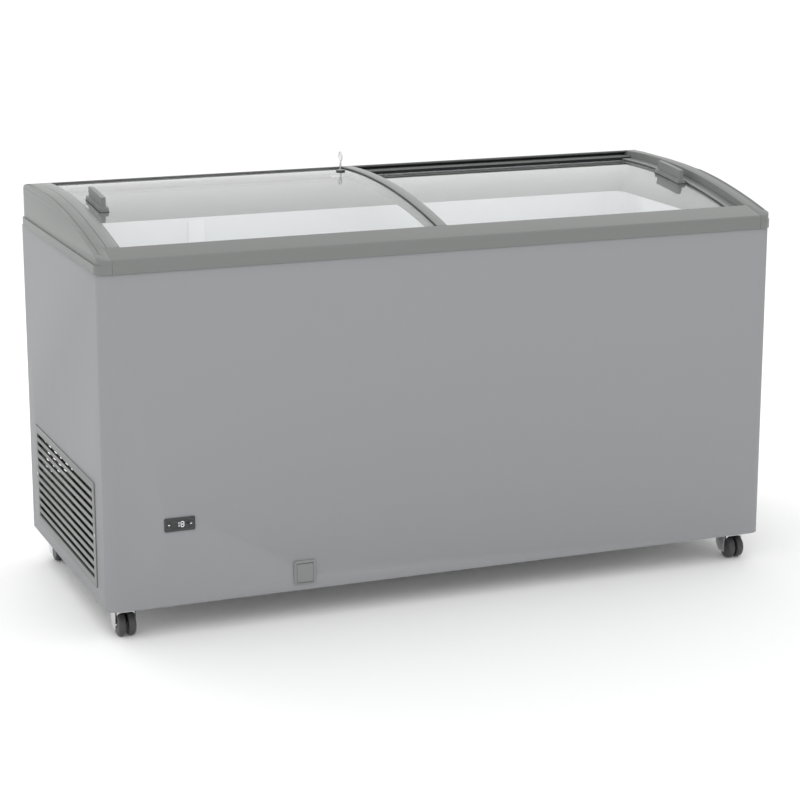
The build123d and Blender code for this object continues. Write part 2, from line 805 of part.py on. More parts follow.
upper_rear = rear_y - upper_rear_setback
lower_rear = rear_y - lower_rear_setback
lid_overlap = profile_width / 2
left_lid_x = (-lid_outer_x, lid_overlap)
right_lid_x = (-lid_overlap, lid_outer_x)
left_outer_profile = (left_lid_x[0], left_lid_x[0] + left_profile_width)
left_middle_profile = (left_lid_x[1] - profile_width, left_lid_x[1])
right_middle_profile = (right_lid_x[0], right_lid_x[0] + profile_width)
right_outer_profile = (right_lid_x[1] - profile_width, right_lid_x[1])
left_pane_x = (left_outer_profile[1] - profile_grip, left_middle_profile[0] + profile_grip)
right_pane_x = (right_middle_profile[1] - profile_grip, right_outer_profile[0] + profile_grip)
upper_profile_rear = rib_y - frame_wall - seal_thickness - 1.0
upper_cap_rear = flange_y - 1.0
lower_profile_rear = min(throat_rear - 1.0, lower_rear - runner_width - slide_gap)
lower_cap_rear = rib_y - frame_wall - seal_thickness - 0.8
lower_middle_rear = lock_y - lock_barrel_radius - 8.0

lid_glass(left_pane_x, 0.0, upper_rear, "left_lid_glass", True)
lid_profile(left_outer_profile, 0.0, upper_profile_rear, upper_cap_rear, 1, "left_lid_outer_profile")
lid_profile(left_middle_profile, 0.0, upper_profile_rear, upper_cap_rear, -1, "left_lid_middle_profile")
lid_runners(left_pane_x, 0.0, upper_rear, "left_lid_runners")
lid_handle(left_lid_x[0] + left_handle_inset, 0.0, "left_lid_handle")

lid_glass(right_pane_x, lower_level, lower_rear, "right_lid_glass", False)
lid_profile(
    right_outer_profile, lower_level, lower_profile_rear, lower_cap_rear, -1, "right_lid_outer_profile"
)
lid_profile(
    right_middle_profile, lower_level, lower_middle_rear, lower_middle_rear + 1.0, 1,
    "right_lid_middle_profile",
)
lid_runners(right_pane_x, lower_level, lower_rear, "right_lid_runners")
lid_handle(right_lid_x[1] - right_handle_inset, lower_level, "right_lid_handle")

# ---------------------------------------------------------------- lid lock
with BuildPart() as lock_housing:
    with BuildSketch(lock_plane.offset(-lock_barrel_drop)):
        Circle(lock_barrel_radius)
    extrude(amount=lock_barrel_drop)
    with BuildSketch(lock_plane.offset(touch_gap)):
        Circle(lock_flange_radius)
    extrude(amount=lock_flange)
    with BuildSketch(lock_plane):
        Circle(lock_barrel_radius)
    extrude(amount=touch_gap)
    with BuildSketch(lock_plane.offset(-lock_barrel_drop)):
        Circle(lock_bore_radius + turning_gap)
    extrude(amount=lock_barrel_drop + lock_flange + touch_gap, mode=Mode.SUBTRACT)
    with BuildSketch(lock_plane.offset(-glass - touch_gap)):
        RegularPolygon(lock_flange_radius, 6)
        Circle(lock_barrel_radius - 0.5, mode=Mode.SUBTRACT)
    extrude(amount=-3.0)
save(lock_housing, "lock_housing")

plug_top = lock_flange + touch_gap
with BuildPart() as lock_plug:
    with BuildSketch(lock_plane.offset(-lock_barrel_drop - 0.4)):
        Circle(lock_bore_radius)
    extrude(amount=lock_barrel_drop + 0.4 + plug_top)
    with BuildSketch(lock_plane.offset(plug_top - key_blade)):
        Rectangle(key_thickness + 2 * turning_gap, key_shank + 2 * turning_gap)
    extrude(amount=key_blade, mode=Mode.SUBTRACT)
save(lock_plug, "lock_plug")

with BuildPart() as lock_cam:
    with BuildSketch(lock_plane.offset(-lock_barrel_drop - 0.4 - cam_thickness)):
        Circle(cam_width / 2)
        with Locations((-cam_length / 2, 0)):
            Rectangle(cam_length, cam_width)
    extrude(amount=cam_thickness)
save(lock_cam, "lock_cam")

key_plane = Plane(origin=lock_plane.origin, x_dir=lock_plane.y_dir, z_dir=lock_plane.x_dir)
bow_radius = key_width / 2
with BuildPart() as lock_key:
    with BuildSketch(key_plane.offset(-key_thickness / 2)):
        span(-key_shank / 2, key_shank / 2, plug_top - key_blade + turning_gap, key_height - bow_radius)
        with Locations((0, key_height - bow_radius)):
            Circle(bow_radius)
        with Locations((0, key_height - bow_radius / 2)):
            Circle(bow_radius / 4, mode=Mode.SUBTRACT)
    extrude(amount=key_thickness)
save(lock_key, "lock_key")

# ---------------------------------------------------------------- side grille
with BuildPart() as side_grille:
    block((left_x - grille_face, left_x), grille_y, grille_z)
    fillet(side_grille.edges().filter_by(Axis.X), 4.0)
    block((left_x - touch_gap, left_x + grille_inset), grille_open_y, grille_open_z)
    inner_y = (grille_open_y[0] + grille_slat, grille_open_y[1] - grille_slat)
    inner_z = (grille_open_z[0] + grille_slat, grille_open_z[1] - grille_slat)
    block((left_x - grille_face - 1.0, left_x + grille_inset + 1.0), inner_y, inner_z, Mode.SUBTRACT)
    slat_pitch = (inner_z[1] - inner_z[0]) / (grille_slats + 0.5)
    slat_height = slat_pitch / 2
    slat_drop = slat_pitch * 0.35
    slat_front = left_x - grille_face + slat_setback
    slat_back = left_x + grille_inset
    with BuildSketch(Plane.XZ.offset(-inner_y[1] - grille_slat / 2)):
        for index in range(grille_slats):
            slat_z = inner_z[0] + (index + 0.5) * slat_pitch
            with BuildLine():
                Polyline(
                    (slat_front, slat_z),
                    (slat_front, slat_z + slat_height),
                    (slat_back, slat_z + slat_height - slat_drop),
                    (slat_back, slat_z - slat_drop),
                    close=True,
                )
            make_face()
    extrude(amount=inner_y[1] - inner_y[0] + grille_slat)
    for rib in range(1, grille_ribs + 1):
        rib_y_middle = inner_y[0] + (inner_y[1] - inner_y[0]) * rib / (grille_ribs + 1)
        block(
            (slat_back - rib_thickness, slat_back),
            (rib_y_middle - rib_thickness / 2, rib_y_middle + rib_thickness / 2),
            (inner_z[0] - grille_slat / 2, inner_z[1] + grille_slat / 2),
        )
    for screw_y in grille_screws_y:
        add(grille_screw(screw_y, touch_gap), mode=Mode.SUBTRACT)
save(side_grille, "side_grille")

with BuildPart() as grille_screw_set:
    for screw_y in grille_screws_y:
        add(grille_screw(screw_y, 0.0))
save(grille_screw_set, "grille_screws")

# ---------------------------------------------------------------- thermostat
button_x = (controller_width + window_width) / 4
button_gap = 0.35
bezel_front = front_y - bezel_face
with BuildPart() as thermostat_housing:
    block(
        (thermostat_x - bezel_width / 2, thermostat_x + bezel_width / 2),
        (bezel_front, front_y),
        (thermostat_z - bezel_height / 2, thermostat_z + bezel_height / 2),
    )
    fillet(thermostat_housing.edges().filter_by(Axis.Y), 3.0)
    block(
        (thermostat_x - controller_width / 2, thermostat_x + controller_width / 2),
        (front_y - touch_gap, front_y + controller_depth),
        (thermostat_z - controller_height / 2, thermostat_z + controller_height / 2),
    )
    block(
        (thermostat_x - window_width / 2, thermostat_x + window_width / 2),
        (bezel_front, bezel_front + window_thickness),
        (thermostat_z - window_height / 2, thermostat_z + window_height / 2),
        Mode.SUBTRACT,
    )
    for side in (-1, 1):
        button_at = thermostat_x + side * button_x
        block(
            (button_at - button_width / 2 - button_gap, button_at + button_width / 2 + button_gap),
            (bezel_front, front_y + 4.0),
            (thermostat_z - button_height / 2 - button_gap, thermostat_z + button_height / 2 + button_gap),
            Mode.SUBTRACT,
        )
save(thermostat_housing, "thermostat_housing")

with BuildPart() as thermostat_window:
    block(
        (thermostat_x - window_width / 2 + 0.1, thermostat_x + window_width / 2 - 0.1),
        (bezel_front, bezel_front + window_thickness),
        (thermostat_z - window_height / 2 + 0.1, thermostat_z + window_height / 2 - 0.1),
    )
save(thermostat_window, "thermostat_window")

for side, side_name in ((-1, "left"), (1, "right")):
    button_at = thermostat_x + side * button_x
    with BuildPart() as thermostat_button:
        block(
            (button_at - button_width / 2, button_at + button_width / 2),
            (front_y - overhang, front_y + 2.4),
            (thermostat_z - button_height / 2, thermostat_z + button_height / 2),
        )
        fillet(thermostat_button.edges().filter_by(Axis.Y), 1.5)
    save(thermostat_button, f"thermostat_button_{side_name}")

# ---------------------------------------------------------------- drain outlet
drain_face = 2.5
socket_depth = 11.2         # drain socket behind the front panel
flap_clearance_below = 2.5  # dark gap under the flap
hinge_z = drain_z + flap_height / 2 - 2.0
hinge_y = front_y - drain_face / 2
hinge_radius = 0.8
with BuildPart() as drain_bezel:
    block(
        (drain_x - drain_width / 2, drain_x + drain_width / 2),
        (front_y - drain_face, front_y),
        (drain_z - drain_height / 2, drain_z + drain_height / 2),
    )
    fillet(drain_bezel.edges().filter_by(Axis.Y), 5.0)
    block(
        (drain_x - flap_width / 2 - flap_gap, drain_x + flap_width / 2 + flap_gap),
        (front_y - drain_face - 1.0, front_y - 0.1),
        (drain_z - flap_height / 2 - flap_gap - flap_clearance_below, drain_z + flap_height / 2 + flap_gap),
        Mode.SUBTRACT,
    )
    with BuildSketch(Plane.XZ.offset(-front_y + touch_gap)):
        with Locations((drain_x, drain_z)):
            Circle(drain_socket_radius)
    extrude(amount=-socket_depth - touch_gap)
    with BuildSketch(Plane.XZ.offset(-front_y + drain_face)):
        with Locations((drain_x, drain_z)):
            Circle(drain_bore)
    extrude(amount=-drain_face - 2 * socket_depth, mode=Mode.SUBTRACT)
    with Locations(Plane((drain_x, hinge_y, hinge_z), x_dir=(0, 1, 0), z_dir=(1, 0, 0))):
        Cylinder(hinge_radius + turning_gap, flap_width + 8.0, mode=Mode.SUBTRACT)
save(drain_bezel, "drain_bezel")

flap_back = hinge_y + hinge_radius
with BuildPart() as drain_flap:
    block(
        (drain_x - flap_width / 2, drain_x + flap_width / 2),
        (flap_back - flap_thickness, flap_back),
        (drain_z - flap_height / 2, hinge_z),
    )
    with Locations(Plane((drain_x, hinge_y, hinge_z), x_dir=(0, 1, 0), z_dir=(1, 0, 0))):
        Cylinder(hinge_radius, flap_width + 6.0)
save(drain_flap, "drain_flap")

# ---------------------------------------------------------------- machine compartment
condenser_x = left_x + condenser_inset + condenser_depth / 2
condenser_z = pan_top + 12.0 + condenser_height / 2
condenser_y = (condenser_centre_y - condenser_length / 2, condenser_centre_y + condenser_length / 2)
pass_pitch = condenser_height / condenser_passes
turn_reach = 14.0


def condenser_points():
    """Corners of the condenser's serpentine tube, from its top inlet to its bottom outlet."""
    points = []
    for index in range(condenser_passes):
        z = condenser_z + condenser_height / 2 - (index + 0.5) * pass_pitch
        row = [
            (condenser_x, condenser_y[1] + turn_reach, z),
            (condenser_x, condenser_y[0] - turn_reach, z),
        ]
        points += row if index % 2 == 0 else row[::-1]
    return points


with BuildPart() as condenser:
    serpentine = tube_path(condenser_points(), 10.0)
    with BuildSketch(Plane(condenser_points()[0], x_dir=(1, 0, 0), z_dir=(0, -1, 0))):
        Circle(machine_tube_radius)
    sweep(path=serpentine)
    for index in range(condenser_fins):
        fin_y = condenser_y[0] + index * condenser_length / (condenser_fins - 1)
        block(
            (condenser_x - condenser_depth / 2, condenser_x + condenser_depth / 2),
            (fin_y - 0.4, fin_y + 0.4),
            (condenser_z - condenser_height / 2, condenser_z + condenser_height / 2),
        )
save(condenser, "condenser")

shroud_x = condenser_x + condenser_depth / 2 + 1.0
fan_x = shroud_x + 16.0
motor_x = fan_x + 16.0
with BuildPart() as fan_shroud:
    block(
        (shroud_x, shroud_x + 1.5),
        (condenser_centre_y - condenser_height / 2, condenser_centre_y + condenser_height / 2),
        (condenser_z - condenser_height / 2 - 12.0, condenser_z + condenser_height / 2),
    )
    with Locations(Plane((shroud_x + 6.0, condenser_centre_y, condenser_z), z_dir=(1, 0, 0))):
        Cylinder(fan_radius + 6.0, 12.0)
        Cylinder(fan_radius + 4.5, 40.0, mode=Mode.SUBTRACT)
save(fan_shroud, "fan_shroud")

bracket_z = condenser_height / 2 - 4.0
with BuildPart() as fan_motor:
    block(
        (motor_x, motor_x + motor_depth),
        (condenser_centre_y - motor_size / 2, condenser_centre_y + motor_size / 2),
        (condenser_z - motor_size / 2, condenser_z + motor_size / 2),
    )
    fillet(fan_motor.edges().filter_by(Axis.X), 8.0)
    block(
        (motor_x - 2.0, motor_x + 0.5),
        (condenser_centre_y - 9.0, condenser_centre_y + 9.0),
        (condenser_z - bracket_z, condenser_z + bracket_z),
    )
    for end in (-1, 1):
        end_z = condenser_z + end * (bracket_z - 1.25)
        block(
            (shroud_x + 1.5, motor_x),
            (condenser_centre_y - 9.0, condenser_centre_y + 9.0),
            (end_z - 1.25, end_z + 1.25),
        )
    with Locations(Plane((motor_x, condenser_centre_y, condenser_z), z_dir=(1, 0, 0))):
        Cylinder(machine_tube_radius + turning_gap, 50.0, mode=Mode.SUBTRACT)
save(fan_motor, "fan_motor")

with BuildPart() as fan_rotor:
    with Locations(Plane((fan_x, condenser_centre_y, condenser_z), z_dir=(1, 0, 0))):
        Cylinder(fan_hub_radius, 16.0)
    with Locations(Plane((fan_x + 16.0, condenser_centre_y, condenser_z), z_dir=(1, 0, 0))):
        Cylinder(machine_tube_radius, 32.0)
    for index in range(fan_blades):
        turn = 360.0 * index / fan_blades
        radial = Vector(0, cos(radians(turn)), sin(radians(turn)))
        tangent = Vector(0, -sin(radians(turn)), cos(radians(turn)))
        root = Vector(fan_x, condenser_centre_y, condenser_z) + radial * (fan_hub_radius - 2.0)
        with BuildSketch(Plane(root, x_dir=tangent, z_dir=radial)):
            Rectangle(34.0, 2.0, rotation=28.0)
        extrude(amount=fan_radius - fan_hub_radius)
save(fan_rotor, "fan_rotor")

compressor_x = left_x + compressor_from_left
plate_z = pan_top + foot_height
plate_thickness = 3.0
plate_half = (85.0, 62.0)
pot_bottom = plate_z + plate_thickness
pot_shoulder = 48.0
stub_radius = 5.0
stub_reach = compressor_radius + 12.0
suction_z = pot_bottom + compressor_height * 0.6
discharge_z = pot_bottom + compressor_height * 0.35
foot_inset = foot_radius + 2.0
foot_places = [
    (compressor_x + side * (plate_half[0] - foot_inset), compressor_y + end * (plate_half[1] - foot_inset))
    for side in (-1, 1)
    for end in (-1, 1)
]

with BuildPart() as compressor:
    with BuildSketch(Plane.XY.offset(plate_z)):
        with Locations((compressor_x, compressor_y)):
            RectangleRounded(2 * plate_half[0], 2 * plate_half[1], 12.0)
    extrude(amount=plate_thickness)
    with BuildSketch(Plane.XY.offset(pot_bottom)):
        with Locations((compressor_x, compressor_y)):
            Circle(compressor_radius)
    extrude(amount=compressor_height)
    fillet(compressor.edges().filter_by(GeomType.CIRCLE).group_by(Axis.Z)[-1], pot_shoulder)
    seam_z = pot_bottom + compressor_height * 0.5
    with Locations((compressor_x, compressor_y, seam_z)):
        Cylinder(compressor_radius + 2.0, 4.0)
    with Locations(
        Plane((compressor_x + stub_reach / 2, compressor_y, suction_z), z_dir=(1, 0, 0)),
    ):
        Cylinder(stub_radius, stub_reach)
    with Locations(
        Plane((compressor_x, compressor_y - stub_reach / 2, discharge_z), z_dir=(0, -1, 0)),
    ):
        Cylinder(stub_radius, stub_reach)
save(compressor, "compressor")

with BuildPart() as compressor_feet:
    with BuildSketch(Plane.XY.offset(pan_top)):
        with Locations(*foot_places):
            Circle(foot_radius)
    extrude(amount=foot_height)
save(compressor_feet, "compressor_feet")

relay_size = (52.0, 30.0, 56.0)
relay_face_y = compressor_y + compressor_radius - 12.0
with BuildPart() as compressor_relay_box:
    relay_y = (relay_face_y, min(relay_face_y + relay_size[1], rear_y - 4.0))
    block(
        (compressor_x - relay_size[0] / 2, compressor_x + relay_size[0] / 2),
        relay_y,
        (pot_bottom + 8.0, pot_bottom + 8.0 + relay_size[2]),
    )
    fillet(compressor_relay_box.edges().filter_by(Axis.Y), 5.0)
    with Locations((compressor_x, compressor_y, pot_bottom + compressor_height / 2)):
        Cylinder(compressor_radius + 2.0 + touch_gap, compressor_height, mode=Mode.SUBTRACT)
save(compressor_relay_box, "compressor_relay_box")

condenser_ends = (condenser_points()[0], condenser_points()[-1])
discharge_route = [
    (compressor_x, compressor_y - stub_reach, discharge_z),
    (compressor_x, compressor_y - stub_reach - 40.0, discharge_z),
    (compressor_x, compressor_y - stub_reach - 40.0, condenser_ends[0][2]),
    (condenser_x, condenser_y[1] + turn_reach + 30.0, condenser_ends[0][2]),
    condenser_ends[0],
]
drier_length = 80.0
drier_radius = 9.0
liquid_x = compartment_x - 30.0
liquid_y = condenser_y[1] + turn_reach + 34.0
liquid_route = [
    condenser_ends[1],
    (condenser_x, liquid_y, condenser_ends[1][2]),
    (liquid_x, liquid_y, condenser_ends[1][2]),
    (liquid_x, liquid_y, condenser_ends[1][2] + 60.0),
]
drier_low = liquid_route[-1]
drier_high = (drier_low[0], drier_low[1], drier_low[2] + drier_length)
capillary_route = [
    drier_high,
    (drier_high[0], drier_high[1], drier_high[2] + 30.0),
    (compartment_x, drier_high[1], drier_high[2] + 30.0),
]
suction_route = [
    (compressor_x + stub_reach, compressor_y, suction_z),
    (compressor_x + stub_reach + 10.0, compressor_y, suction_z),
    (compressor_x + stub_reach + 10.0, compressor_y, suction_z + 50.0),
    (compartment_x, compressor_y, suction_z + 50.0),
]


def copper_tube(points, start_direction, bend):
    """Sweep a copper tube from its first point, leaving in the given direction."""
    path = tube_path(points, bend)
    with BuildPart() as tube:
        with BuildSketch(Plane(points[0], z_dir=start_direction)):
            Circle(machine_tube_radius)
        sweep(path=path)
    return tube.part


with BuildPart() as refrigerant_pipes:
    add(copper_tube(discharge_route, (0, -1, 0), 14.0))
    add(copper_tube(liquid_route, (0, 1, 0), 14.0))
    add(copper_tube(capillary_route, (0, 0, 1), 12.0))
    add(copper_tube(suction_route, (1, 0, 0), 4.5))
    with Locations((drier_low[0], drier_low[1], drier_low[2] + drier_length / 2)):
        Cylinder(drier_radius, drier_length)
save(refrigerant_pipes, "refrigerant_pipes")

# ---------------------------------------------------------------- mains inlet
inlet_flange_depth = 2.0
inlet_depth = 22.0
inlet_recess = (30.0, 20.0, 16.0)
inlet_pin = (4.0, 2.0, 13.0)
with BuildPart() as mains_inlet:
    block(
        (inlet_x - inlet_flange[0] / 2, inlet_x + inlet_flange[0] / 2),
        (rear_y, rear_y + inlet_flange_depth),
        (inlet_z - inlet_flange[1] / 2, inlet_z + inlet_flange[1] / 2),
    )
    fillet(mains_inlet.edges().filter_by(Axis.Y), 3.0)
    block(
        (inlet_x - inlet_body[0] / 2, inlet_x + inlet_body[0] / 2),
        (rear_y - inlet_depth, rear_y + touch_gap),
        (inlet_z - inlet_body[1] / 2, inlet_z + inlet_body[1] / 2),
    )
    inlet_mouth_y = rear_y + inlet_flange_depth
    block(
        (inlet_x - inlet_recess[0] / 2, inlet_x + inlet_recess[0] / 2),
        (inlet_mouth_y - inlet_recess[2], inlet_mouth_y),
        (inlet_z - inlet_recess[1] / 2, inlet_z + inlet_recess[1] / 2),
        Mode.SUBTRACT,
    )
    for pin_x, pin_z in ((-7.0, -2.0), (0.0, 3.0), (7.0, -2.0)):
        block(
            (inlet_x + pin_x - inlet_pin[1] / 2, inlet_x + pin_x + inlet_pin[1] / 2),
            (inlet_mouth_y - inlet_recess[2] - 0.5, inlet_mouth_y - inlet_recess[2] + inlet_pin[2]),
            (inlet_z + pin_z - inlet_pin[0] / 2, inlet_z + pin_z + inlet_pin[0] / 2),
        )
save(mains_inlet, "mains_inlet")

# ---------------------------------------------------------------- castors
castor_places = {
    "front_left": (left_x + castor_side_inset, front_y + castor_end_inset),
    "front_right": (right_x - castor_side_inset, front_y + castor_end_inset),
    "rear_left": (left_x + castor_side_inset, rear_y - castor_end_inset),
    "rear_right": (right_x - castor_side_inset, rear_y - castor_end_inset),
}
pan_bottom_z = base_z + base_recess
plate_bottom_z = pan_bottom_z - castor_plate
hood_top = plate_bottom_z - swivel_gap
hood_half = wheel_spacing / 2 + wheel_width / 2 + hood_gap
hood_outer = hood_half + hood_wall

with BuildPart() as castor_plates:
    with BuildSketch(Plane.XY.offset(plate_bottom_z)):
        with Locations(*castor_places.values()):
            RectangleRounded(castor_plate_size, castor_plate_size, 6.0)
            Circle(swivel_radius + turning_gap, mode=Mode.SUBTRACT)
    extrude(amount=castor_plate)
save(castor_plates, "castor_plates")


def hood_outline(wheel_y, skin, z_bottom):
    """Side outline of a castor's hood on a YZ plane, a skin's thickness inside its outer face."""
    with BuildSketch() as outline:
        with BuildLine():
            Polyline(
                (wheel_y - hood_front + 3.0 + skin, z_bottom),
                (wheel_y - hood_front + skin, hood_top - skin),
                (wheel_y + hood_rear - skin, hood_top - skin),
                (wheel_y + hood_rear - skin, wheel_radius + 4.0),
                (wheel_y + hood_rear - 12.0, z_bottom),
                close=True,
            )
        make_face()
        corner = Vector(wheel_y + hood_rear - skin, hood_top - skin)
        fillet(outline.vertices().sort_by_distance(corner)[0], 16.0 - skin)
    return outline.sketch


def castor_hood(place):
    """Bright hood with its swivel pin and the axle pressed through its cheeks."""
    swivel_x, swivel_y = place
    wheel_y = swivel_y - castor_trail
    cheek_bottom = wheel_radius - 11.0
    with BuildPart() as hood:
        with BuildSketch(Plane.YZ.offset(swivel_x - hood_outer)):
            add(hood_outline(wheel_y, 0.0, cheek_bottom))
        extrude(amount=2 * hood_outer)
        upright = hood.edges().filter_by(Axis.Z, tolerance=8.0).group_by(Axis.Y)[0]
        fillet(upright, 9.0)
        with BuildSketch(Plane.YZ.offset(swivel_x - hood_half)):
            add(hood_outline(wheel_y, hood_wall, cheek_bottom - 1.0))
        extrude(amount=2 * hood_half, mode=Mode.SUBTRACT)
        arch_half = hood_half - hood_lip
        with BuildSketch(Plane.XZ.offset(-wheel_y)) as arch:
            span(swivel_x - arch_half, swivel_x + arch_half, 0.0, 2 * wheel_radius + 2.0)
            fillet(arch.vertices().group_by(Axis.Y)[-1], arch_half / 2)
        extrude(amount=wheel_radius, mode=Mode.SUBTRACT)
        with Locations(Plane((swivel_x, wheel_y, wheel_radius), z_dir=(1, 0, 0))):
            Cylinder(axle_radius + turning_gap, 4 * hood_outer, mode=Mode.SUBTRACT)
        with Locations(Plane((swivel_x, swivel_y, hood_top - hood_wall / 2))):
            Cylinder(swivel_radius + 5.0, hood_wall)
        with BuildSketch(Plane.XY.offset(hood_top - hood_wall)):
            with Locations(place):
                Circle(swivel_radius)
        extrude(amount=pan_bottom_z - touch_gap - hood_top + hood_wall)
        with Locations(Plane((swivel_x, wheel_y, wheel_radius), z_dir=(1, 0, 0))):
            Cylinder(axle_radius, 2 * hood_outer)
    return hood


def castor_wheel(centre):
    """Solid wheel with rounded shoulders, a dished face and a running bore."""
    x, y = centre
    half = wheel_width / 2
    shoulder = 6.0
    with BuildPart() as wheel:
        with BuildSketch(Plane((x, y, wheel_radius), x_dir=(1, 0, 0), z_dir=(0, -1, 0))) as section:
            span(-half, half, axle_radius + turning_gap, wheel_radius)
            fillet(section.vertices().group_by(Axis.Y)[-1], shoulder)
        revolve(axis=Axis((x, y, wheel_radius), (1, 0, 0)))
    return wheel


for name, place in castor_places.items():
    save(castor_hood(place), f"castor_{name}_hood")
    for side, side_name in ((-1, "left"), (1, "right")):
        wheel_centre = (place[0] + side * wheel_spacing / 2, place[1] - castor_trail)
        save(castor_wheel(wheel_centre), f"castor_{name}_{side_name}_wheel")
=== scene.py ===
import json
import math

import bmesh
import bpy
from mathutils import Matrix, Vector

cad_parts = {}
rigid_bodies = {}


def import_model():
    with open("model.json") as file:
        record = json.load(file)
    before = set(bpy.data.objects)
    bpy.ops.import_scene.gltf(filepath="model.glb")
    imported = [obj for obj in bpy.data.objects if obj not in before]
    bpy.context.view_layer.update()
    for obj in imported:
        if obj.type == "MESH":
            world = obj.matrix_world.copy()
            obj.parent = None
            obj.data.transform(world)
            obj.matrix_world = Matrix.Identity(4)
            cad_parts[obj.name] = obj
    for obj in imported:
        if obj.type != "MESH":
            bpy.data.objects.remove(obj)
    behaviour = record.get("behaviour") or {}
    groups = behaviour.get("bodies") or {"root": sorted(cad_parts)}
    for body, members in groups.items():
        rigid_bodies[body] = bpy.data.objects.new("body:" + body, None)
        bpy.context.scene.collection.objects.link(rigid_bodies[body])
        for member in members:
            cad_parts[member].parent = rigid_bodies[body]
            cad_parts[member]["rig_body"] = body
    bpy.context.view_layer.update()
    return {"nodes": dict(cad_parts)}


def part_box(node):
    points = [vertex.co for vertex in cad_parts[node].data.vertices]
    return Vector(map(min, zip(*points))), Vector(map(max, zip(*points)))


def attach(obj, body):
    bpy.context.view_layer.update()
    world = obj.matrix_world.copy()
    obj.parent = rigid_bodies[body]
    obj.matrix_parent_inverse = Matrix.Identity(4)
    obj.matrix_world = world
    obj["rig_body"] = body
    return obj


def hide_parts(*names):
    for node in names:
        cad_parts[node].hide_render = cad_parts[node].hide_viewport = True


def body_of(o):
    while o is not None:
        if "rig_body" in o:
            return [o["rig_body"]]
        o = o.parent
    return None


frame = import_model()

# ------------------------------------------------------------------ studio
# A seamless white photographer's floor under an evenly lit white tent. A large soft box hangs to
# the front left and a narrow one behind, and dark flags give bright metal an edge to mirror.
floor_size = 30.0
floor_mesh = bmesh.new()
bmesh.ops.create_grid(floor_mesh, x_segments=1, y_segments=1, size=floor_size / 2)
floor_data = bpy.data.meshes.new("studio_floor")
floor_mesh.to_mesh(floor_data)
floor_mesh.free()
floor = bpy.data.objects.new("studio_floor", floor_data)
bpy.context.scene.collection.objects.link(floor)
floor_paper = bpy.data.materials.new("floor_paper")
floor_paper.use_nodes = True
paper_shader = floor_paper.node_tree.nodes["Principled BSDF"]
paper_shader.inputs["Base Color"].default_value = (0.96, 0.96, 0.96, 1)
paper_shader.inputs["Roughness"].default_value = 0.75
floor_data.materials.append(floor_paper)

tent = bpy.data.worlds.new("light_tent")
bpy.context.scene.world = tent
tent.use_nodes = True
tent_nodes = tent.node_tree.nodes
tent_links = tent.node_tree.links
tent_nodes.clear()
tent_out = tent_nodes.new("ShaderNodeOutputWorld")
seen_or_lit = tent_nodes.new("ShaderNodeMixShader")
even_white = tent_nodes.new("ShaderNodeBackground")
even_white.inputs["Color"].default_value = (1.0, 1.0, 1.0, 1)
even_white.inputs["Strength"].default_value = 1.1
mirrored = tent_nodes.new("ShaderNodeBackground")
mirrored.inputs["Strength"].default_value = 1.0
light_path = tent_nodes.new("ShaderNodeLightPath")
tent_coordinates = tent_nodes.new("ShaderNodeTexCoord")
tent_split = tent_nodes.new("ShaderNodeSeparateXYZ")
flags = tent_nodes.new("ShaderNodeValToRGB")
flag_tones = (
    (0.0, 1.0), (0.22, 1.0), (0.30, 0.10), (0.42, 0.10), (0.50, 1.0), (0.66, 1.0), (0.74, 0.12),
)
while len(flags.color_ramp.elements) < len(flag_tones):
    flags.color_ramp.elements.new(0.5)
for element, (position, tone) in zip(flags.color_ramp.elements, flag_tones):
    element.position = position
    element.color = (tone, tone, tone * 1.02, 1)
across = tent_nodes.new("ShaderNodeMapRange")
across.inputs["From Min"].default_value = -1.0
across.inputs["From Max"].default_value = 1.0
behind_camera = tent_nodes.new("ShaderNodeMapRange")
behind_camera.inputs["From Min"].default_value = 0.0
behind_camera.inputs["From Max"].default_value = -0.3
overhead = tent_nodes.new("ShaderNodeMapRange")
overhead.inputs["From Min"].default_value = 0.55
overhead.inputs["From Max"].default_value = 0.35
flagged = tent_nodes.new("ShaderNodeMath")
flagged.operation = "MULTIPLY"
tent_tone = tent_nodes.new("ShaderNodeMix")
tent_tone.data_type = "RGBA"
tent_tone.inputs[6].default_value = (1.0, 1.0, 1.0, 1)
tent_links.new(tent_coordinates.outputs["Generated"], tent_split.inputs[0])
tent_links.new(tent_split.outputs["X"], across.inputs["Value"])
tent_links.new(tent_split.outputs["Y"], behind_camera.inputs["Value"])
tent_links.new(tent_split.outputs["Z"], overhead.inputs["Value"])
tent_links.new(behind_camera.outputs["Result"], flagged.inputs[0])
tent_links.new(overhead.outputs["Result"], flagged.inputs[1])
tent_links.new(across.outputs["Result"], flags.inputs["Fac"])
tent_links.new(flagged.outputs[0], tent_tone.inputs[0])
tent_links.new(flags.outputs["Color"], tent_tone.inputs[7])
tent_links.new(tent_tone.outputs[2], mirrored.inputs["Color"])
tent_links.new(light_path.outputs["Is Glossy Ray"], seen_or_lit.inputs["Fac"])
tent_links.new(even_white.outputs[0], seen_or_lit.inputs[1])
tent_links.new(mirrored.outputs[0], seen_or_lit.inputs[2])
tent_links.new(seen_or_lit.outputs[0], tent_out.inputs["Surface"])


def soft_box(name, place, aim, size, power):
    """A rectangular light turned towards a point, unseen in reflections and through glass."""
    light = bpy.data.lights.new(name, "AREA")
    light.shape = "RECTANGLE"
    light.size, light.size_y = size
    light.energy = power
    holder = bpy.data.objects.new(name, light)
    holder.location = place
    holder.rotation_euler = (Vector(aim) - Vector(place)).to_track_quat("-Z", "Y").to_euler()
    holder.visible_glossy = False
    holder.visible_transmission = False
    bpy.context.scene.collection.objects.link(holder)


soft_box("key_box", (-1.2, -4.2, 4.2), (0.0, 0.0, 0.4), (2.4, 2.4), 30.0)
soft_box("strip_box", (-1.0, 2.6, 2.6), (0.0, 0.0, 0.8), (3.0, 0.5), 30.0)

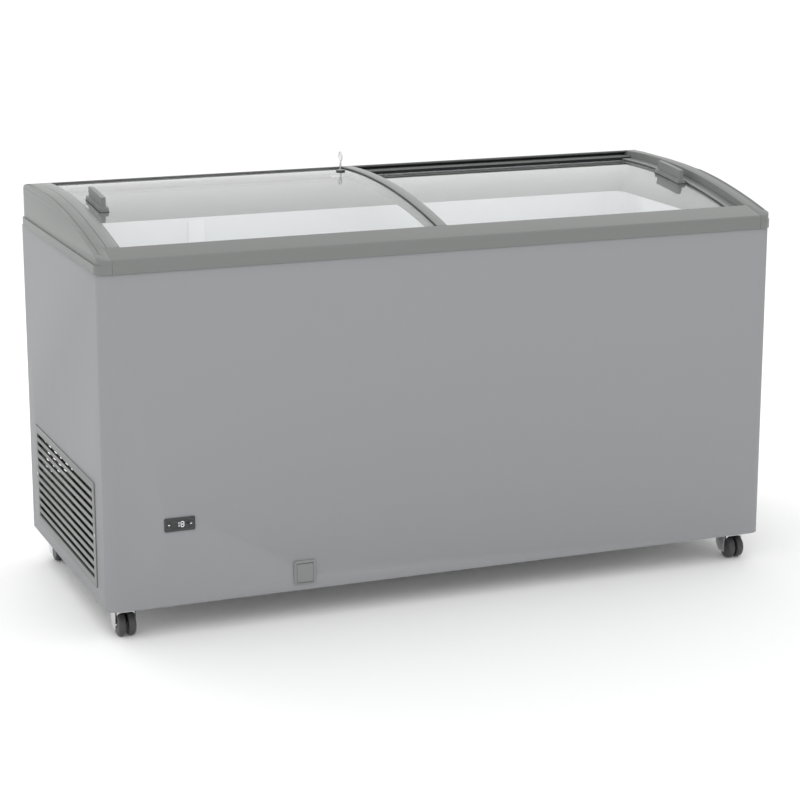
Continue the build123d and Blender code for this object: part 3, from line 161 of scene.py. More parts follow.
camera_data = bpy.data.cameras.new("camera")
camera_data.sensor_width = 36.0
camera_data.lens = 104.1
camera_pitch, camera_yaw = -13.95, 21.78
camera_data.dof.use_dof = False
camera = bpy.data.objects.new("camera", camera_data)
camera.location = (-1.896, -4.774, 1.650)
camera.rotation_euler = (math.radians(90.0 + camera_pitch), 0.0, math.radians(-camera_yaw))
bpy.context.scene.collection.objects.link(camera)
bpy.context.scene.camera = camera
bpy.context.scene.view_settings.view_transform = "Standard"

# ------------------------------------------------------------------ castors
# Four twin-wheel castors: bright chromed hoods of pressed steel over two moulded grey wheels,
# each on a swivel pin in a zinc-plated plate that is bolted under the base pan's corner.


def effect_group(name, inputs, outputs):
    """An empty shader group whose inputs are (name, kind, value) and outputs are (name, kind)."""
    group = bpy.data.node_groups.new(name, "ShaderNodeTree")
    for label, kind, value in inputs:
        group.interface.new_socket(label, in_out="INPUT", socket_type=kind).default_value = value
    for label, kind in outputs:
        group.interface.new_socket(label, in_out="OUTPUT", socket_type=kind)
    return group


def toned(group, given, noise, amount):
    """Scale a group's colour up and down by its noise: the centred noise and the new colour."""
    nodes, links = group.nodes, group.links
    centred = nodes.new("ShaderNodeMath")
    centred.operation = "SUBTRACT"
    centred.inputs[1].default_value = 0.5
    tone = nodes.new("ShaderNodeMath")
    tone.operation = "MULTIPLY_ADD"
    tone.inputs[2].default_value = 1.0
    shade = nodes.new("ShaderNodeVectorMath")
    shade.operation = "SCALE"
    links.new(noise.outputs["Fac"], centred.inputs[0])
    links.new(centred.outputs[0], tone.inputs[0])
    links.new(given.outputs[amount], tone.inputs[1])
    links.new(given.outputs["Colour"], shade.inputs[0])
    links.new(tone.outputs[0], shade.inputs["Scale"])
    return centred.outputs[0], shade.outputs[0]


def uneven_coat_group():
    """Slow drifts of tone and of gloss over a surface, as any sprayed or moulded skin has."""
    group = effect_group(
        "uneven_coat",
        [
            ("Colour", "NodeSocketColor", (0.5, 0.5, 0.5, 1)),
            ("Mottle", "NodeSocketFloat", 0.03),
            ("Patch Scale", "NodeSocketFloat", 4.0),
            ("Roughness", "NodeSocketFloat", 0.4),
            ("Gloss Drift", "NodeSocketFloat", 0.08),
        ],
        [("Colour", "NodeSocketColor"), ("Roughness", "NodeSocketFloat")],
    )
    nodes, links = group.nodes, group.links
    given, result = nodes.new("NodeGroupInput"), nodes.new("NodeGroupOutput")
    place = nodes.new("ShaderNodeTexCoord")
    drift = nodes.new("ShaderNodeTexNoise")
    drift.inputs["Detail"].default_value = 4.0
    gloss = nodes.new("ShaderNodeMath")
    gloss.operation = "MULTIPLY_ADD"
    links.new(place.outputs["Object"], drift.inputs["Vector"])
    links.new(given.outputs["Patch Scale"], drift.inputs["Scale"])
    centred, shade = toned(group, given, drift, "Mottle")
    links.new(centred, gloss.inputs[0])
    links.new(given.outputs["Gloss Drift"], gloss.inputs[1])
    links.new(given.outputs["Roughness"], gloss.inputs[2])
    links.new(shade, result.inputs["Colour"])
    links.new(gloss.outputs[0], result.inputs["Roughness"])
    return group


def grain_group():
    """Height of a fine random skin: orange peel in paint, spark-eroded texture in plastic."""
    group = effect_group(
        "fine_grain", [("Scale", "NodeSocketFloat", 600.0)], [("Height", "NodeSocketFloat")]
    )
    nodes, links = group.nodes, group.links
    given, result = nodes.new("NodeGroupInput"), nodes.new("NodeGroupOutput")
    place = nodes.new("ShaderNodeTexCoord")
    grain = nodes.new("ShaderNodeTexNoise")
    grain.inputs["Detail"].default_value = 2.0
    grain.inputs["Roughness"].default_value = 0.6
    links.new(place.outputs["Object"], grain.inputs["Vector"])
    links.new(given.outputs["Scale"], grain.inputs["Scale"])
    links.new(grain.outputs["Fac"], result.inputs["Height"])
    return group


def brushed_group():
    """Height and tone of drawn lines along one axis, as rolled, drawn or polished metal has."""
    group = effect_group(
        "drawn_lines",
        [
            ("Stretch", "NodeSocketVector", (1.0, 60.0, 60.0)),
            ("Colour", "NodeSocketColor", (0.6, 0.6, 0.6, 1)),
            ("Contrast", "NodeSocketFloat", 0.2),
        ],
        [("Colour", "NodeSocketColor"), ("Height", "NodeSocketFloat")],
    )
    nodes, links = group.nodes, group.links
    given, result = nodes.new("NodeGroupInput"), nodes.new("NodeGroupOutput")
    place = nodes.new("ShaderNodeTexCoord")
    stretch = nodes.new("ShaderNodeVectorMath")
    stretch.operation = "MULTIPLY"
    lines = nodes.new("ShaderNodeTexNoise")
    lines.inputs["Scale"].default_value = 12.0
    lines.inputs["Detail"].default_value = 3.0
    links.new(place.outputs["Object"], stretch.inputs[0])
    links.new(given.outputs["Stretch"], stretch.inputs[1])
    links.new(stretch.outputs[0], lines.inputs["Vector"])
    shade = toned(group, given, lines, "Contrast")[1]
    links.new(shade, result.inputs["Colour"])
    links.new(lines.outputs["Fac"], result.inputs["Height"])
    return group


uneven_coat = uneven_coat_group()
fine_grain = grain_group()
drawn_lines = brushed_group()


def finish_material(
    name, colour, roughness, metallic=0.0, mottle=0.05, patches=5.0, drift=0.1,
    grain=700.0, relief=0.00003, lines=None, coat=0.0, specular=0.5,
):
    """A skin with drifting tone and gloss over a fine grain, or over drawn lines for metals."""
    material = bpy.data.materials.new(name)
    material.use_nodes = True
    nodes, links = material.node_tree.nodes, material.node_tree.links
    shader = nodes["Principled BSDF"]
    shader.inputs["Metallic"].default_value = metallic
    shader.inputs["Coat Weight"].default_value = coat
    shader.inputs["Coat Roughness"].default_value = 0.12
    shader.inputs["Specular IOR Level"].default_value = specular
    skin = nodes.new("ShaderNodeGroup")
    skin.node_tree = uneven_coat
    skin.inputs["Colour"].default_value = (*colour, 1)
    skin.inputs["Mottle"].default_value = mottle
    skin.inputs["Patch Scale"].default_value = patches
    skin.inputs["Roughness"].default_value = roughness
    skin.inputs["Gloss Drift"].default_value = drift
    texture = nodes.new("ShaderNodeGroup")
    if lines:
        texture.node_tree = drawn_lines
        texture.inputs["Stretch"].default_value = lines
        links.new(skin.outputs["Colour"], texture.inputs["Colour"])
        links.new(texture.outputs["Colour"], shader.inputs["Base Color"])
    else:
        texture.node_tree = fine_grain
        texture.inputs["Scale"].default_value = grain
        links.new(skin.outputs["Colour"], shader.inputs["Base Color"])
    bump = nodes.new("ShaderNodeBump")
    bump.inputs["Strength"].default_value = 0.5
    bump.inputs["Distance"].default_value = relief
    links.new(skin.outputs["Roughness"], shader.inputs["Roughness"])
    links.new(texture.outputs["Height"], bump.inputs["Height"])
    links.new(bump.outputs["Normal"], shader.inputs["Normal"])
    return material


def dress(material, *nodes):
    """Give CAD nodes that stay as they are their finish."""
    for node in nodes:
        data = frame["nodes"][node].data
        data.materials.clear()
        data.materials.append(material)


def add_piece(name, mesh, material, body_node, smooth=True):
    """Turn a bmesh into a finished piece that rides with the body of a CAD node."""
    data = bpy.data.meshes.new(name)
    mesh.to_mesh(data)
    mesh.free()
    for face in data.polygons:
        face.use_smooth = smooth
    data.materials.append(material)
    piece = bpy.data.objects.new(name, data)
    bpy.context.scene.collection.objects.link(piece)
    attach(piece, body_of(frame["nodes"][body_node])[0])
    return piece


def round_edges(piece, width, segments=3):
    """Break every sharp edge of a piece with a small radius, flat faces staying flat."""
    bevel = piece.modifiers.new("edges", "BEVEL")
    bevel.width = width
    bevel.segments = segments
    bevel.limit_method = "ANGLE"
    bevel.angle_limit = math.radians(28.0)
    bevel.harden_normals = True
    bevel.use_clamp_overlap = True


def finished(node, material, edge, segments=3):
    """The CAD node's own shape with merged faces and broken edges, standing for that node."""
    flat_angle = math.radians(0.03)
    mesh = bmesh.new()
    mesh.from_mesh(frame["nodes"][node].data)
    bmesh.ops.remove_doubles(mesh, verts=mesh.verts, dist=0.00001)
    bmesh.ops.dissolve_limit(mesh, angle_limit=flat_angle, verts=mesh.verts, edges=mesh.edges)
    piece = add_piece(f"{node}_finished", mesh, material, node)
    round_edges(piece, edge, segments)
    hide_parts(node)
    return piece


chrome = finish_material(
    "castor_chrome", (0.66, 0.66, 0.67), 0.09, metallic=1.0, mottle=0.04, patches=40.0, drift=0.08,
    grain=300.0, relief=0.00002,
)
zinc = finish_material(
    "zinc_plate", (0.55, 0.56, 0.58), 0.35, metallic=1.0, mottle=0.25, patches=60.0, drift=0.25,
    grain=500.0,
)
wheel_plastic = finish_material(
    "wheel_plastic", (0.045, 0.045, 0.047), 0.36, mottle=0.2, patches=30.0, drift=0.15,
    grain=1500.0, relief=0.00004,
)
corners = ("front_left", "front_right", "rear_left", "rear_right")
for corner in corners:
    finished(f"castor_{corner}_hood", chrome, edge=0.0006, segments=3)
    for side in ("left", "right"):
        wheel = f"castor_{corner}_{side}_wheel"
        finished(wheel, wheel_plastic, edge=0.0006, segments=2)
dress(zinc, "castor_plates")

# Bolts of the castor plates: zinc-plated M6 hexagon heads, one near each corner of each plate,
# screwed up through the base pan. They are seen only from below.
bolt_radius = 0.0055
bolt_height = 0.0040
bolt_taper = 0.94
plate_low, plate_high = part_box("castor_plates")
bolt_inset = 0.009
plate_side = 0.062
for corner in corners:
    bolts = bmesh.new()
    right = "right" in corner
    rear = "rear" in corner
    centre_x = (plate_high.x - plate_side / 2) if right else (plate_low.x + plate_side / 2)
    centre_y = (plate_high.y - plate_side / 2) if rear else (plate_low.y + plate_side / 2)
    for step_x in (-1, 1):
        for step_y in (-1, 1):
            reach = plate_side / 2 - bolt_inset
            place = (
                centre_x + step_x * reach, centre_y + step_y * reach, plate_low.z - bolt_height / 2
            )
            bmesh.ops.create_cone(
                bolts, cap_ends=True, segments=6, radius1=bolt_radius * bolt_taper,
                radius2=bolt_radius, depth=bolt_height, matrix=Matrix.Translation(place),
            )
    bolt_piece = add_piece(f"castor_bolts_{corner}", bolts, zinc, "castor_plates")
    round_edges(bolt_piece, 0.0005, 2)

# ------------------------------------------------------------------ base pan
# A folded tray of galvanised sheet with an upturned rim. It closes the cabinet from below, and
# carries the castor plates, the compressor and the condenser.


def galvanised_sheet():
    """Zinc-coated steel with its spangle of crystals, dull between them."""
    material = finish_material(
        "galvanised_sheet", (0.52, 0.54, 0.56), 0.42, metallic=0.85, mottle=0.1, patches=6.0,
        drift=0.2,
    )
    nodes, links = material.node_tree.nodes, material.node_tree.links
    place = nodes.new("ShaderNodeTexCoord")
    crystals = nodes.new("ShaderNodeTexVoronoi")
    crystals.inputs["Scale"].default_value = 90.0
    tone = nodes.new("ShaderNodeMapRange")
    tone.inputs["To Min"].default_value = 0.36
    tone.inputs["To Max"].default_value = 0.62
    grey = nodes.new("ShaderNodeCombineColor")
    links.new(place.outputs["Object"], crystals.inputs["Vector"])
    links.new(crystals.outputs["Color"], tone.inputs["Value"])
    for channel in ("Red", "Green", "Blue"):
        links.new(tone.outputs["Result"], grey.inputs[channel])
    links.new(grey.outputs["Color"], nodes["Principled BSDF"].inputs["Base Color"])
    return material


galvanised = galvanised_sheet()
dress(galvanised, "base_pan")

# ------------------------------------------------------------------ compressor
# A hermetic compressor in a black-enamelled welded pot on rubber grommets, its relay box on the
# rear side. It stands on the base pan in the machine compartment, behind the side grille.
black_enamel = finish_material(
    "black_enamel", (0.02, 0.02, 0.022), 0.28, mottle=0.2, patches=12.0, drift=0.15, grain=260.0,
    relief=0.00012, coat=0.3,
)
grommet_rubber = finish_material(
    "grommet_rubber", (0.03, 0.03, 0.03), 0.75, mottle=0.3, patches=50.0, grain=1200.0,
    relief=0.00008,
)
relay_plastic = finish_material(
    "relay_plastic", (0.10, 0.10, 0.105), 0.5, mottle=0.1, patches=30.0, grain=1400.0,
)
finished("compressor", black_enamel, edge=0.0008, segments=2)
dress(grommet_rubber, "compressor_feet")
finished("compressor_relay_box", relay_plastic, edge=0.0008, segments=2)

# ------------------------------------------------------------------ condenser and fan
# A copper serpentine pressed through aluminium fins, with a shaded-pole motor that blows air
# through it. The shroud is galvanised sheet, and the rotor is moulded plastic.
fin_aluminium = finish_material(
    "fin_aluminium", (0.72, 0.73, 0.74), 0.34, metallic=1.0, mottle=0.15, patches=25.0, drift=0.2,
    lines=(40.0, 1.0, 40.0),
)
motor_enamel = finish_material(
    "motor_enamel", (0.09, 0.09, 0.10), 0.45, mottle=0.2, patches=30.0, grain=900.0,
)
rotor_plastic = finish_material(
    "rotor_plastic", (0.12, 0.12, 0.125), 0.4, mottle=0.1, patches=20.0, grain=1300.0,
)
copper = finish_material(
    "drawn_copper", (0.72, 0.36, 0.22), 0.28, metallic=1.0, mottle=0.3, patches=18.0, drift=0.25,
    lines=(30.0, 30.0, 2.0),
)
dress(fin_aluminium, "condenser")
dress(galvanised, "fan_shroud")
dress(motor_enamel, "fan_motor")
finished("fan_rotor", rotor_plastic, edge=0.0005, segments=2)
dress(copper, "refrigerant_pipes")

# ------------------------------------------------------------------ tank and insulation
# A bright aluminium tube is wound round the white tank, and polyurethane foam is blown between
# the tank and the outer sheets. The drain pipe leaves through the foam to the front.
foam = finish_material(
    "polyurethane_foam", (0.72, 0.60, 0.36), 0.95, mottle=0.25, patches=9.0, grain=420.0,
    relief=0.0008,
)
tube_aluminium = finish_material(
    "tube_aluminium", (0.75, 0.76, 0.77), 0.3, metallic=1.0, mottle=0.1, patches=10.0, drift=0.2,
    lines=(1.0, 50.0, 50.0),
)
pipe_plastic = finish_material(
    "pipe_plastic", (0.34, 0.35, 0.36), 0.45, mottle=0.1, patches=15.0, grain=1200.0,
)
liner_enamel = finish_material(
    "liner_enamel", (0.80, 0.81, 0.82), 0.34, mottle=0.02, patches=2.5, drift=0.1, grain=260.0,
    relief=0.00005,
)
dress(foam, "insulation_foam")
dress(tube_aluminium, "evaporator_coil")
dress(pipe_plastic, "drain_tube")
finished("inner_liner", liner_enamel, edge=0.0004, segments=2)

# Drain strainer: a white moulded disc with a ring of slots, dropped into the hole in the tank's
# floor so that nothing but melt water goes down the pipe.
strainer_radius = 0.017
strainer_height = 0.0025
strainer_taper = 0.9
liner_sheet = 0.001
liner_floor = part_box("inner_liner")[0].z + liner_sheet
drain_low, drain_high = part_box("drain_tube")
strainer_x = (drain_low.x + drain_high.x) / 2
strainer_y = drain_high.y - (drain_high.x - drain_low.x) / 2
strainer = bmesh.new()
bmesh.ops.create_cone(
    strainer, cap_ends=True, segments=40, radius1=strainer_radius,
    radius2=strainer_radius * strainer_taper, depth=strainer_height,
    matrix=Matrix.Translation((strainer_x, strainer_y, liner_floor + strainer_height / 2)),
)
strainer_piece = add_piece("drain_strainer", strainer, liner_enamel, "inner_liner")
round_edges(strainer_piece, 0.0005, 2)

# Probe cover: a flat strip of pre-painted sheet clipped to the rear wall over the temperature
# probe's wire, a shade whiter than the tank.
cover_paint = finish_material(
    "cover_paint", (0.88, 0.88, 0.89), 0.4, mottle=0.02, patches=6.0, grain=500.0,
)
finished("probe_cover", cover_paint, edge=0.0008, segments=3)

# ------------------------------------------------------------------ outer wrap
# One sheet of silver-grey pre-painted steel, folded round the front corners to a 25 mm radius.
# Its bottom edge is hemmed, and the side grille, the thermostat and the drain sit in its cuts.
wrap_paint = finish_material(
    "wrap_paint", (0.276, 0.281, 0.291), 0.5, mottle=0.02, patches=1.6, drift=0.06, grain=900.0,
    relief=0.00002, specular=0.12,
)
finished("outer_wrap", wrap_paint, edge=0.0004, segments=2)

# Rear panel: a flat sheet of galvanised steel with three columns of vent slots at the machine
# compartment. It is held by pan-head screws along its upright edges.
finished("rear_panel", galvanised, edge=0.0003, segments=2)
panel_low, panel_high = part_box("rear_panel")
panel_screws = bmesh.new()
screw_radius = 0.0038
screw_rise = 0.0016
screw_taper = 0.7
screw_rows = 5
screw_inset = 0.018
screw_margin = 0.04
screw_pitch = (panel_high.z - panel_low.z - 2 * screw_margin) / (screw_rows - 1)
turn = Matrix.Rotation(math.radians(-90.0), 4, "X")
for side_x in (panel_low.x + screw_inset, panel_high.x - screw_inset):
    for row in range(screw_rows):
        screw_z = panel_low.z + screw_margin + row * screw_pitch
        bmesh.ops.create_cone(
            panel_screws, cap_ends=True, segments=20, radius1=screw_radius,
            radius2=screw_radius * screw_taper, depth=screw_rise,
            matrix=Matrix.Translation((side_x, panel_high.y + screw_rise / 2, screw_z)) @ turn,
        )
screw_piece = add_piece("rear_panel_screws", panel_screws, zinc, "rear_panel")
round_edges(screw_piece, 0.0003, 2)

# Mains inlet: a black moulded appliance inlet with three tinned pins, snapped into the rear panel.
inlet_plastic = finish_material(
    "inlet_plastic", (0.025, 0.025, 0.027), 0.4, mottle=0.15, patches=40.0, grain=1500.0,
)
finished("mains_inlet", inlet_plastic, edge=0.0006, segments=2)

# ------------------------------------------------------------------ inner collar
# A moulded grey funnel between the tank's rim and the lids' rails. It slopes outwards at both
# ends so that goods lift out past it.
collar_plastic = finish_material(
    "collar_plastic", (0.27, 0.275, 0.275), 0.36, mottle=0.03, patches=3.0, drift=0.1, grain=800.0,
)
finished("inner_collar", collar_plastic, edge=0.0006, segments=3)

# ------------------------------------------------------------------ frame
# Grey ABS rails along the front and the rear, and two moulded end caps that plug over their
# ends. Together they carry the two curved levels of tracks for the lids.
frame_plastic = finish_material(
    "frame_plastic", (0.185, 0.193, 0.187), 0.34, mottle=0.03, patches=3.0, drift=0.08,
    grain=1100.0, relief=0.00002, specular=0.2,
)
for moulding in ("front_rail", "rear_rail", "left_end_cap", "right_end_cap"):
    finished(moulding, frame_plastic, edge=0.0007, segments=3)

# Track seals: black brush-pile strips along the back walls of the tracks, which stop cold air
# from spilling past the lids' edges.
seal_pile = finish_material(
    "seal_pile", (0.012, 0.012, 0.013), 0.9, mottle=0.4, patches=60.0, grain=2200.0, relief=0.0003,
)
dress(seal_pile, "track_seals")

# ------------------------------------------------------------------ lids
# Two panes of tempered 4 mm glass bent to the crown's radius, the left one over the right one.
# Each is gripped along both short edges by a grey extruded profile, and slides on two runners.


def lid_glass():
    """Clear float glass with the faint green of its iron and a trace of handling on it."""
    material = bpy.data.materials.new("lid_glass")
    material.use_nodes = True
    nodes, links = material.node_tree.nodes, material.node_tree.links
    shader = nodes["Principled BSDF"]
    shader.inputs["Transmission Weight"].default_value = 1.0
    shader.inputs["IOR"].default_value = 1.5
    skin = nodes.new("ShaderNodeGroup")
    skin.node_tree = uneven_coat
    skin.inputs["Colour"].default_value = (0.97, 0.985, 0.98, 1)
    skin.inputs["Mottle"].default_value = 0.01
    skin.inputs["Patch Scale"].default_value = 7.0
    skin.inputs["Roughness"].default_value = 0.005
    skin.inputs["Gloss Drift"].default_value = 0.01
    links.new(skin.outputs["Colour"], shader.inputs["Base Color"])
    links.new(skin.outputs["Roughness"], shader.inputs["Roughness"])
    light_passed = 0.92
    light_ray = nodes.new("ShaderNodeLightPath")
    passing = nodes.new("ShaderNodeMath")
    passing.operation = "MAXIMUM"
    opacity = nodes.new("ShaderNodeMath")
    opacity.operation = "MULTIPLY_ADD"
    opacity.inputs[1].default_value = -light_passed
    opacity.inputs[2].default_value = 1.0
    links.new(light_ray.outputs["Is Shadow Ray"], passing.inputs[0])
    links.new(light_ray.outputs["Is Diffuse Ray"], passing.inputs[1])
    links.new(passing.outputs[0], opacity.inputs[0])
    links.new(opacity.outputs[0], shader.inputs["Alpha"])
    return material


glass = lid_glass()
profile_plastic = finish_material(
    "profile_plastic", (0.20, 0.21, 0.205), 0.32, mottle=0.03, patches=4.0, drift=0.08,
    grain=1100.0, relief=0.00002,
)
slider_plastic = finish_material(
    "slider_plastic", (0.62, 0.63, 0.63), 0.4, mottle=0.05, patches=12.0, grain=1300.0,
)
handle_plastic = finish_material(
    "handle_plastic", (0.185, 0.195, 0.19), 0.38, mottle=0.04, patches=14.0, drift=0.1,
    grain=1400.0, relief=0.00004,
)
crown_radius = 2.060
crown_behind_front = 0.525
crown_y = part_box("outer_wrap")[0].y + crown_behind_front
crown_axis_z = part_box("left_lid_middle_profile")[1].z - crown_radius
glass_depth = 0.004
glass_thickness = 0.004
left_profile_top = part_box("left_lid_middle_profile")[1].z
right_profile_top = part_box("right_lid_outer_profile")[1].z
lid_levels = {"left_lid": 0.0, "right_lid": left_profile_top - right_profile_top}


def crown_strip(x_low, x_high, y_front, y_rear, depth_top, depth_bottom, steps=48):
    """A closed strip that follows the crown between two depths under it."""
    mesh = bmesh.new()
    outer, inner = crown_radius - depth_top, crown_radius - depth_bottom
    start = math.asin((y_front - crown_y) / outer)
    stop = math.asin((y_rear - crown_y) / outer)
    corner_points = []
    for x, radius in ((x_low, inner), (x_high, inner), (x_high, outer), (x_low, outer)):
        y = crown_y + radius * math.sin(start)
        z = crown_axis_z + radius * math.cos(start)
        corner_points.append(mesh.verts.new((x, y, z)))
    section = mesh.faces.new(corner_points)
    bmesh.ops.spin(
        mesh, geom=[section, *section.edges, *section.verts], cent=(0.0, crown_y, crown_axis_z),
        axis=(-1.0, 0.0, 0.0), angle=stop - start, steps=steps, use_duplicate=False,
    )
    bmesh.ops.recalc_face_normals(mesh, faces=mesh.faces)
    return mesh


def pierce(piece, place, direction, radius, depth):
    """Cut a round hole through a piece."""
    drill_mesh = bmesh.new()
    turn = direction.to_track_quat("Z", "Y").to_matrix().to_4x4()
    bmesh.ops.create_cone(
        drill_mesh, cap_ends=True, segments=48, radius1=radius, radius2=radius, depth=depth,
        matrix=Matrix.Translation(place) @ turn,
    )
    drill_data = bpy.data.meshes.new("drill")
    drill_mesh.to_mesh(drill_data)
    drill_mesh.free()
    drill = bpy.data.objects.new("drill", drill_data)
    bpy.context.scene.collection.objects.link(drill)
    cut = piece.modifiers.new("hole", "BOOLEAN")
    cut.object = drill
    cut.operation = "DIFFERENCE"
    cut.solver = "EXACT"
    bpy.context.view_layer.update()
    cut_piece = piece.evaluated_get(bpy.context.evaluated_depsgraph_get())
    pierced = bpy.data.meshes.new_from_object(cut_piece)
    piece.modifiers.remove(cut)
    piece.data = pierced
    bpy.data.objects.remove(drill)


lock_low, lock_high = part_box("lock_housing")
lock_centre = Vector(((lock_low.x + lock_high.x) / 2, (lock_low.y + lock_high.y) / 2, 0.0))
lock_centre.z = crown_axis_z + math.sqrt(
    (crown_radius - glass_depth) ** 2 - (lock_centre.y - crown_y) ** 2
)
lock_direction = Vector((0.0, lock_centre.y - crown_y, lock_centre.z - crown_axis_z)).normalized()
lock_hole_radius = 0.0082
drill_length = 0.03
for lid in ("left_lid", "right_lid"):
    pane_low, pane_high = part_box(f"{lid}_glass")
    top = lid_levels[lid] + glass_depth
    pane_mesh = crown_strip(
        pane_low.x, pane_high.x, pane_low.y, pane_high.y, top, top + glass_thickness, 96
    )
    pane = add_piece(f"{lid}_pane", pane_mesh, glass, f"{lid}_glass")
    if lid == "left_lid":
        pierce(pane, lock_centre, lock_direction, lock_hole_radius, drill_length)
    round_edges(pane, 0.0004, 2)
    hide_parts(f"{lid}_glass")

for lid in ("left_lid", "right_lid"):
    finished(f"{lid}_outer_profile", profile_plastic, edge=0.0012, segments=3)
    finished(f"{lid}_middle_profile", profile_plastic, edge=0.0012, segments=3)
    finished(f"{lid}_handle", handle_plastic, edge=0.0016, segments=4)
    dress(slider_plastic, f"{lid}_runners")

# Handle pads: dark foam tape under each handle's base, which bonds it to the glass and squeezes
# out a little all round.
pad_tape = finish_material(
    "pad_tape", (0.03, 0.031, 0.03), 0.7, mottle=0.2, patches=40.0, grain=1500.0, relief=0.0001,
)
pad_proud = 0.0008
pad_rise = 0.0012
for lid, level in lid_levels.items():
    base_low, base_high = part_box(f"{lid}_handle")
    tape = crown_strip(
        base_low.x - pad_proud, base_high.x + pad_proud, base_low.y - pad_proud,
        base_high.y + pad_proud, level + glass_depth - pad_rise, level + glass_depth, 16,
    )
    pad = add_piece(f"{lid}_handle_pad", tape, pad_tape, f"{lid}_handle")
    round_edges(pad, 0.0004, 2)

# Lid gaskets: black extruded lips pressed between each profile and the glass. They follow the
# crown on both sides of the pane.
gasket_width = 0.0022
gasket_rise = 0.0011
gasket_end_gap = 0.002
gasket_rubber = finish_material(
    "gasket_rubber", (0.02, 0.021, 0.021), 0.6, mottle=0.2, patches=60.0, grain=1500.0,
)


def gaskets(lid, glass_top):
    """The two gaskets of a lid, beside its outer and its middle profile."""
    for profile in ("outer", "middle"):
        low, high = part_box(f"{lid}_{profile}_profile")
        inward = 1 if (low.x + high.x) < sum(c.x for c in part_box(f"{lid}_glass")) else -1
        edge = high.x if inward > 0 else low.x
        x_low, x_high = sorted((edge, edge + inward * gasket_width))
        y_rear = min(high.y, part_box(f"{lid}_glass")[1].y) - gasket_end_gap
        strip = crown_strip(
            x_low, x_high, low.y + gasket_end_gap, y_rear, glass_top - gasket_rise, glass_top
        )
        piece = add_piece(
            f"{lid}_{profile}_gasket", strip, gasket_rubber, f"{lid}_glass"
        )
        round_edges(piece, 0.0004, 2)


for lid, level in lid_levels.items():
    gaskets(lid, level + glass_depth)

# ------------------------------------------------------------------ lid lock
# A cam lock through the upper pane: a nickel-plated barrel under a flange, a plug that turns in
# it, a cam behind the glass and a flat steel key that is left in the plug.
nickel = finish_material(
    "nickel_plate", (0.62, 0.61, 0.58), 0.2, metallic=1.0, mottle=0.1, patches=80.0, drift=0.1,
    grain=900.0,
)
dark_nickel = finish_material(
    "dark_nickel", (0.10, 0.10, 0.105), 0.3, metallic=0.9, mottle=0.1, patches=80.0, drift=0.1,
    grain=900.0,
)
key_steel = finish_material(
    "key_steel", (0.80, 0.80, 0.79), 0.22, metallic=1.0, mottle=0.1, patches=80.0, drift=0.15,
    lines=(60.0, 60.0, 2.0),
)
finished("lock_housing", dark_nickel, edge=0.0005, segments=2)
finished("lock_plug", nickel, edge=0.0003, segments=2)
finished("lock_cam", nickel, edge=0.0004, segments=2)
finished("lock_key", key_steel, edge=0.0005, segments=2)

# ------------------------------------------------------------------ side grille
# A one-piece moulded grille over the cut in the left side of the wrap. Each of its ten blades has
# an upright face and drops inwards behind it, and screws hold its frame.


def grille_moulding():
    """Grey plastic whose blades carry painted shade, darker the deeper they lie behind the front
    face.
    """
    material = finish_material(
        "grille_plastic_painted_shade", (0.235, 0.24, 0.235), 0.45, mottle=0.04, patches=6.0, drift=0.1,
        grain=1300.0, specular=0.12,
    )
    nodes, links = material.node_tree.nodes, material.node_tree.links
    shader = nodes["Principled BSDF"]
    unshaded_colour = shader.inputs["Base Color"].links[0].from_socket
    face_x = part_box("side_grille")[0].x
    # Painted shade: the base colour darkens from just behind the front face inwards, standing in
    # for the shade deep in the slots.
    unshaded_depth, dark_depth, dark_tone = 0.0006, 0.0050, 0.22
    place = nodes.new("ShaderNodeTexCoord")
    split = nodes.new("ShaderNodeSeparateXYZ")
    inside = nodes.new("ShaderNodeMapRange")
    inside.inputs["From Min"].default_value = face_x + unshaded_depth
    inside.inputs["From Max"].default_value = face_x + dark_depth
    inside.inputs["To Min"].default_value = 1.0
    inside.inputs["To Max"].default_value = dark_tone
    painted_shade = nodes.new("ShaderNodeVectorMath")
    painted_shade.operation = "SCALE"
    links.new(place.outputs["Object"], split.inputs[0])
    links.new(split.outputs["X"], inside.inputs["Value"])
    links.new(unshaded_colour, painted_shade.inputs[0])
    links.new(inside.outputs["Result"], painted_shade.inputs["Scale"])
    links.new(painted_shade.outputs[0], shader.inputs["Base Color"])
    return material


grille_plastic_painted_shade = grille_moulding()
finished("side_grille", grille_plastic_painted_shade, edge=0.0004, segments=2)
finished("grille_screws", zinc, edge=0.0002, segments=2)

# ------------------------------------------------------------------ thermostat
# A panel controller in a black bezel, with a smoked window over a two-digit display and a key
# on each side. It is pushed into the cut in the front and held by its spring clips.
controller_plastic = finish_material(
    "controller_plastic", (0.035, 0.036, 0.038), 0.36, mottle=0.1, patches=40.0, grain=1500.0,
)
window_smoke = finish_material(
    "window_smoke", (0.012, 0.012, 0.013), 0.08, mottle=0.1, patches=60.0, drift=0.04, grain=400.0,
    relief=0.000005, coat=0.5,
)
button_plastic = finish_material(
    "button_plastic", (0.05, 0.051, 0.053), 0.4, mottle=0.1, patches=60.0, grain=1500.0,
)
finished("thermostat_housing", controller_plastic, edge=0.0006, segments=3)
finished("thermostat_window", window_smoke, edge=0.0003, segments=2)
for side in ("left", "right"):
    finished(f"thermostat_button_{side}", button_plastic, edge=0.0004, segments=2)
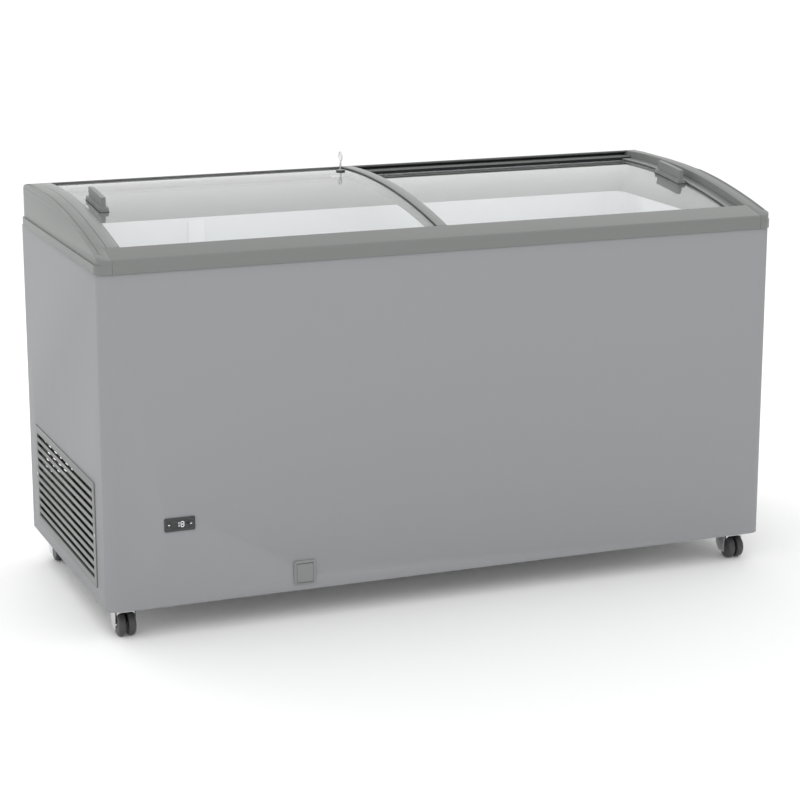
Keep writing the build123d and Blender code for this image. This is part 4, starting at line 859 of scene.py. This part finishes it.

# Display digits and key marks: the lit segments of two seven-segment figures behind the window's
# face, and a printed dash on each key. The dashes share the segments' emitting material, so their
# faint glow is painted light.
segment_glow = finish_material(
    "segment_glow", (0.80, 0.82, 0.84), 0.5, mottle=0.02, patches=90.0, grain=900.0,
)
segment_shader = segment_glow.node_tree.nodes["Principled BSDF"]
segment_shader.inputs["Emission Color"].default_value = (0.80, 0.88, 0.95, 1)
segment_shader.inputs["Emission Strength"].default_value = 0.35
digit_height = 0.0110
digit_width = 0.0062
digit_offset = digit_width * 0.85
segment_stroke = 0.0013
segment_relief = 0.00015
segment_gap = segment_stroke * 1.2
lit_segments = {"1": "bc", "8": "abcdefg"}
segment_bars = {
    "a": (0.0, 1.0, True), "g": (0.0, 0.5, True), "d": (0.0, 0.0, True),
    "f": (-0.5, 0.75, False), "b": (0.5, 0.75, False),
    "e": (-0.5, 0.25, False), "c": (0.5, 0.25, False),
}
window_low, window_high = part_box("thermostat_window")
window_centre = (window_low + window_high) / 2


def bar(mesh, centre, size):
    """Add one flat rectangular bar."""
    scale = Matrix.Diagonal((*size, 1.0))
    bmesh.ops.create_cube(mesh, size=1.0, matrix=Matrix.Translation(centre) @ scale)


digits = bmesh.new()
for place, figure in ((-1, "1"), (1, "8")):
    figure_x = window_centre.x + place * digit_offset
    for name in lit_segments[figure]:
        across, up, lying = segment_bars[name]
        centre = (
            figure_x + across * digit_width,
            window_low.y - segment_relief / 2,
            window_centre.z + (up - 0.5) * digit_height,
        )
        long_side = (digit_width if lying else digit_height / 2) - segment_gap
        size = (
            (long_side, segment_relief, segment_stroke)
            if lying
            else (segment_stroke, segment_relief, long_side)
        )
        bar(digits, centre, size)
add_piece("display_digits", digits, segment_glow, "thermostat_window", False)

# The printed dashes take the lit segments' emitting material: a painted glow on print.
mark_length, mark_stroke = 0.0042, 0.0012
for side in ("left", "right"):
    key_low, key_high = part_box(f"thermostat_button_{side}")
    key_centre = (key_low + key_high) / 2
    mark = bmesh.new()
    bar(
        mark, (key_centre.x, key_low.y - segment_relief / 2, key_centre.z),
        (mark_length, segment_relief, mark_stroke),
    )
    add_piece(
        f"key_mark_{side}", mark, segment_glow, f"thermostat_button_{side}", False
    )

# ------------------------------------------------------------------ drain outlet
# A square grey moulding pressed into the front panel, with a flap that hangs on its own pin over
# the drain's mouth and is lifted with a finger nail.
drain_plastic = finish_material(
    "drain_plastic", (0.21, 0.215, 0.215), 0.38, mottle=0.05, patches=20.0, drift=0.1,
    grain=1300.0,
)
finished("drain_bezel", drain_plastic, edge=0.0006, segments=3)
finished("drain_flap", drain_plastic, edge=0.0005, segments=3)
